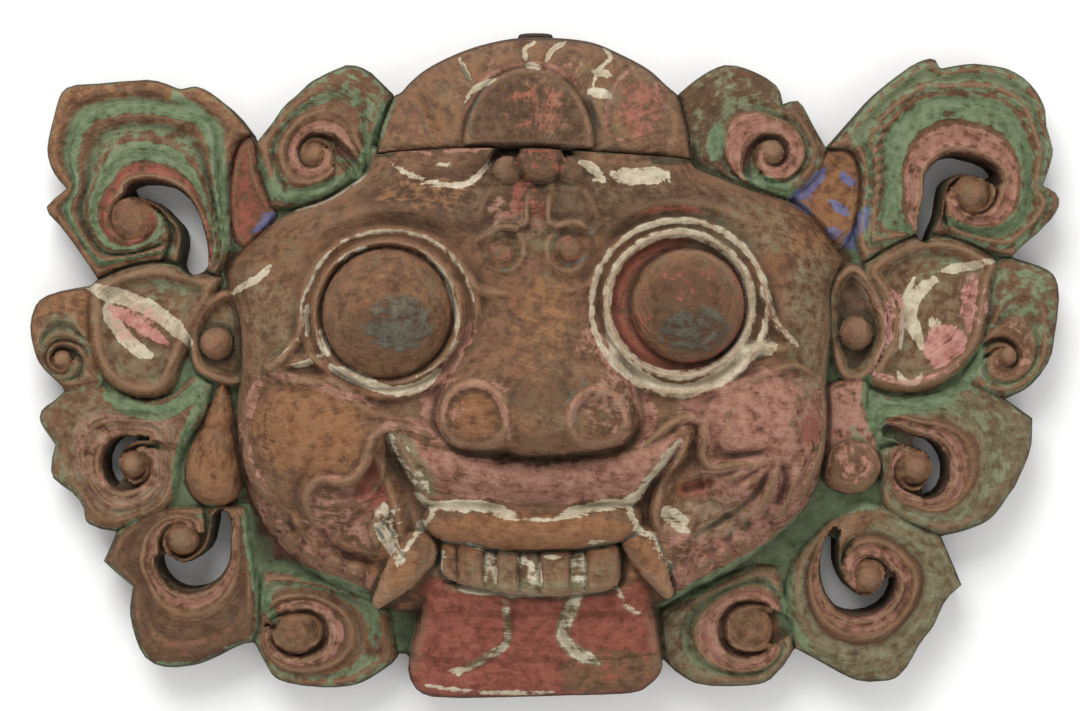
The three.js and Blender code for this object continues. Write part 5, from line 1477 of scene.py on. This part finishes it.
def wire_loop(name, node):
    """A bent wire ring that fills a node's box: its thickness is the box's height."""
    lowest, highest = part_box(node)
    middle = (lowest + highest) / 2
    half = (highest - lowest) / 2
    wire = half.z
    points = []
    for a in np.arange(ROUND_RING) * 2 * math.pi / ROUND_RING:
        centre = np.array([(half.x - wire) * math.cos(a), (half.y - wire) * math.sin(a)])
        out = np.array([math.cos(a) / (half.x - wire), math.sin(a) / (half.y - wire)])
        out = out / np.hypot(*out)
        for b in np.arange(ROUND_WIRE) * 2 * math.pi / ROUND_WIRE:
            spot = centre + out * wire * math.cos(b)
            points.append((middle.x + spot[0], middle.y + spot[1], middle.z + wire * math.sin(b)))
    faces = []
    for i in range(ROUND_RING):
        for j in range(ROUND_WIRE):
            a = i * ROUND_WIRE
            b = (i + 1) % ROUND_RING * ROUND_WIRE
            k = (j + 1) % ROUND_WIRE
            faces.append((a + j, b + j, b + k, a + k))
    mesh = new_mesh(name, points, faces)
    mesh.shade_smooth()
    return linked(name, mesh)


def rusty_wire(name):
    """Dark wire with brown rust."""
    material, tree, shader = new_material(name)
    rust = noise(tree, 900, 6.0)
    colour = shades(tree, rust, [(0.3, (34, 28, 26)), (0.55, (52, 40, 34)), (0.75, (96, 62, 44))])
    tree.links.new(colour, shader.inputs["Base Color"])
    tree.links.new(stretched(tree, rust, 0.4, 0.7, 0.45, 0.8), shader.inputs["Roughness"])
    shader.inputs["Metallic"].default_value = 0.6
    roughened(tree, shader, rust, 0.6, 0.0004)
    return material


loop = wire_loop("wire_loop", "hanging_loop")
loop.data.materials.append(rusty_wire("wire"))
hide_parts("hanging_loop")
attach(loop, "root")

# The pale floor, a soft overhead light from the top of the head, and a weaker one from below.
FLOOR_HALF = 4
FLOOR_GAP = 0.5 * MM
corners = [(x * FLOOR_HALF, y * FLOOR_HALF, 0) for x, y in ((-1, -1), (1, -1), (1, 1), (-1, 1))]
floor = linked("floor", new_mesh("floor", corners, [(0, 1, 2, 3)]))
floor.location.z = cad_box[0].z - FLOOR_GAP
pale, _, shader = new_material("pale_floor")
shader.inputs["Base Color"].default_value = (0.86, 0.86, 0.85, 1)
shader.inputs["Roughness"].default_value = 0.9
floor.data.materials.append(pale)

# Lamps: name, place, size, power.
LIGHTS = [
    ("key", (-0.5, 1.5, 1.9), 1.3, 46),
    ("fill", (0.9, -1.2, 2.2), 2.0, 14),
]
for name, spot, size, power in LIGHTS:
    lamp = bpy.data.lights.new(name, "AREA")
    lamp.size = size
    lamp.energy = power
    lit = linked(name, lamp)
    lit.location = spot
    lit.rotation_euler = (-lit.location).to_track_quat("-Z", "Y").to_euler()
world = bpy.data.worlds.new("studio")
world.use_nodes = True
background = world.node_tree.nodes["Background"]
background.inputs["Color"].default_value = (1, 1, 1, 1)
background.inputs["Strength"].default_value = 0.75
bpy.context.scene.world = world
bpy.context.scene.view_settings.view_transform = "Standard"

# The camera looks straight down, with the top of the head up in the picture.
SEEN_WIDTH = 729  # what the picture spans at the level SEEN_HEIGHT, in millimetres
SEEN_CENTRE = (-3.4, 5.7)
SEEN_HEIGHT = 50
LENS = 100
camera_data = bpy.data.cameras.new("camera")
camera_data.lens = LENS
away = SEEN_WIDTH * LENS / camera_data.sensor_width
camera = linked("camera", camera_data)
camera.location = np.array([SEEN_CENTRE[0] + shift[0], SEEN_CENTRE[1] + shift[1], SEEN_HEIGHT + away]) * MM
bpy.context.scene.camera = camera
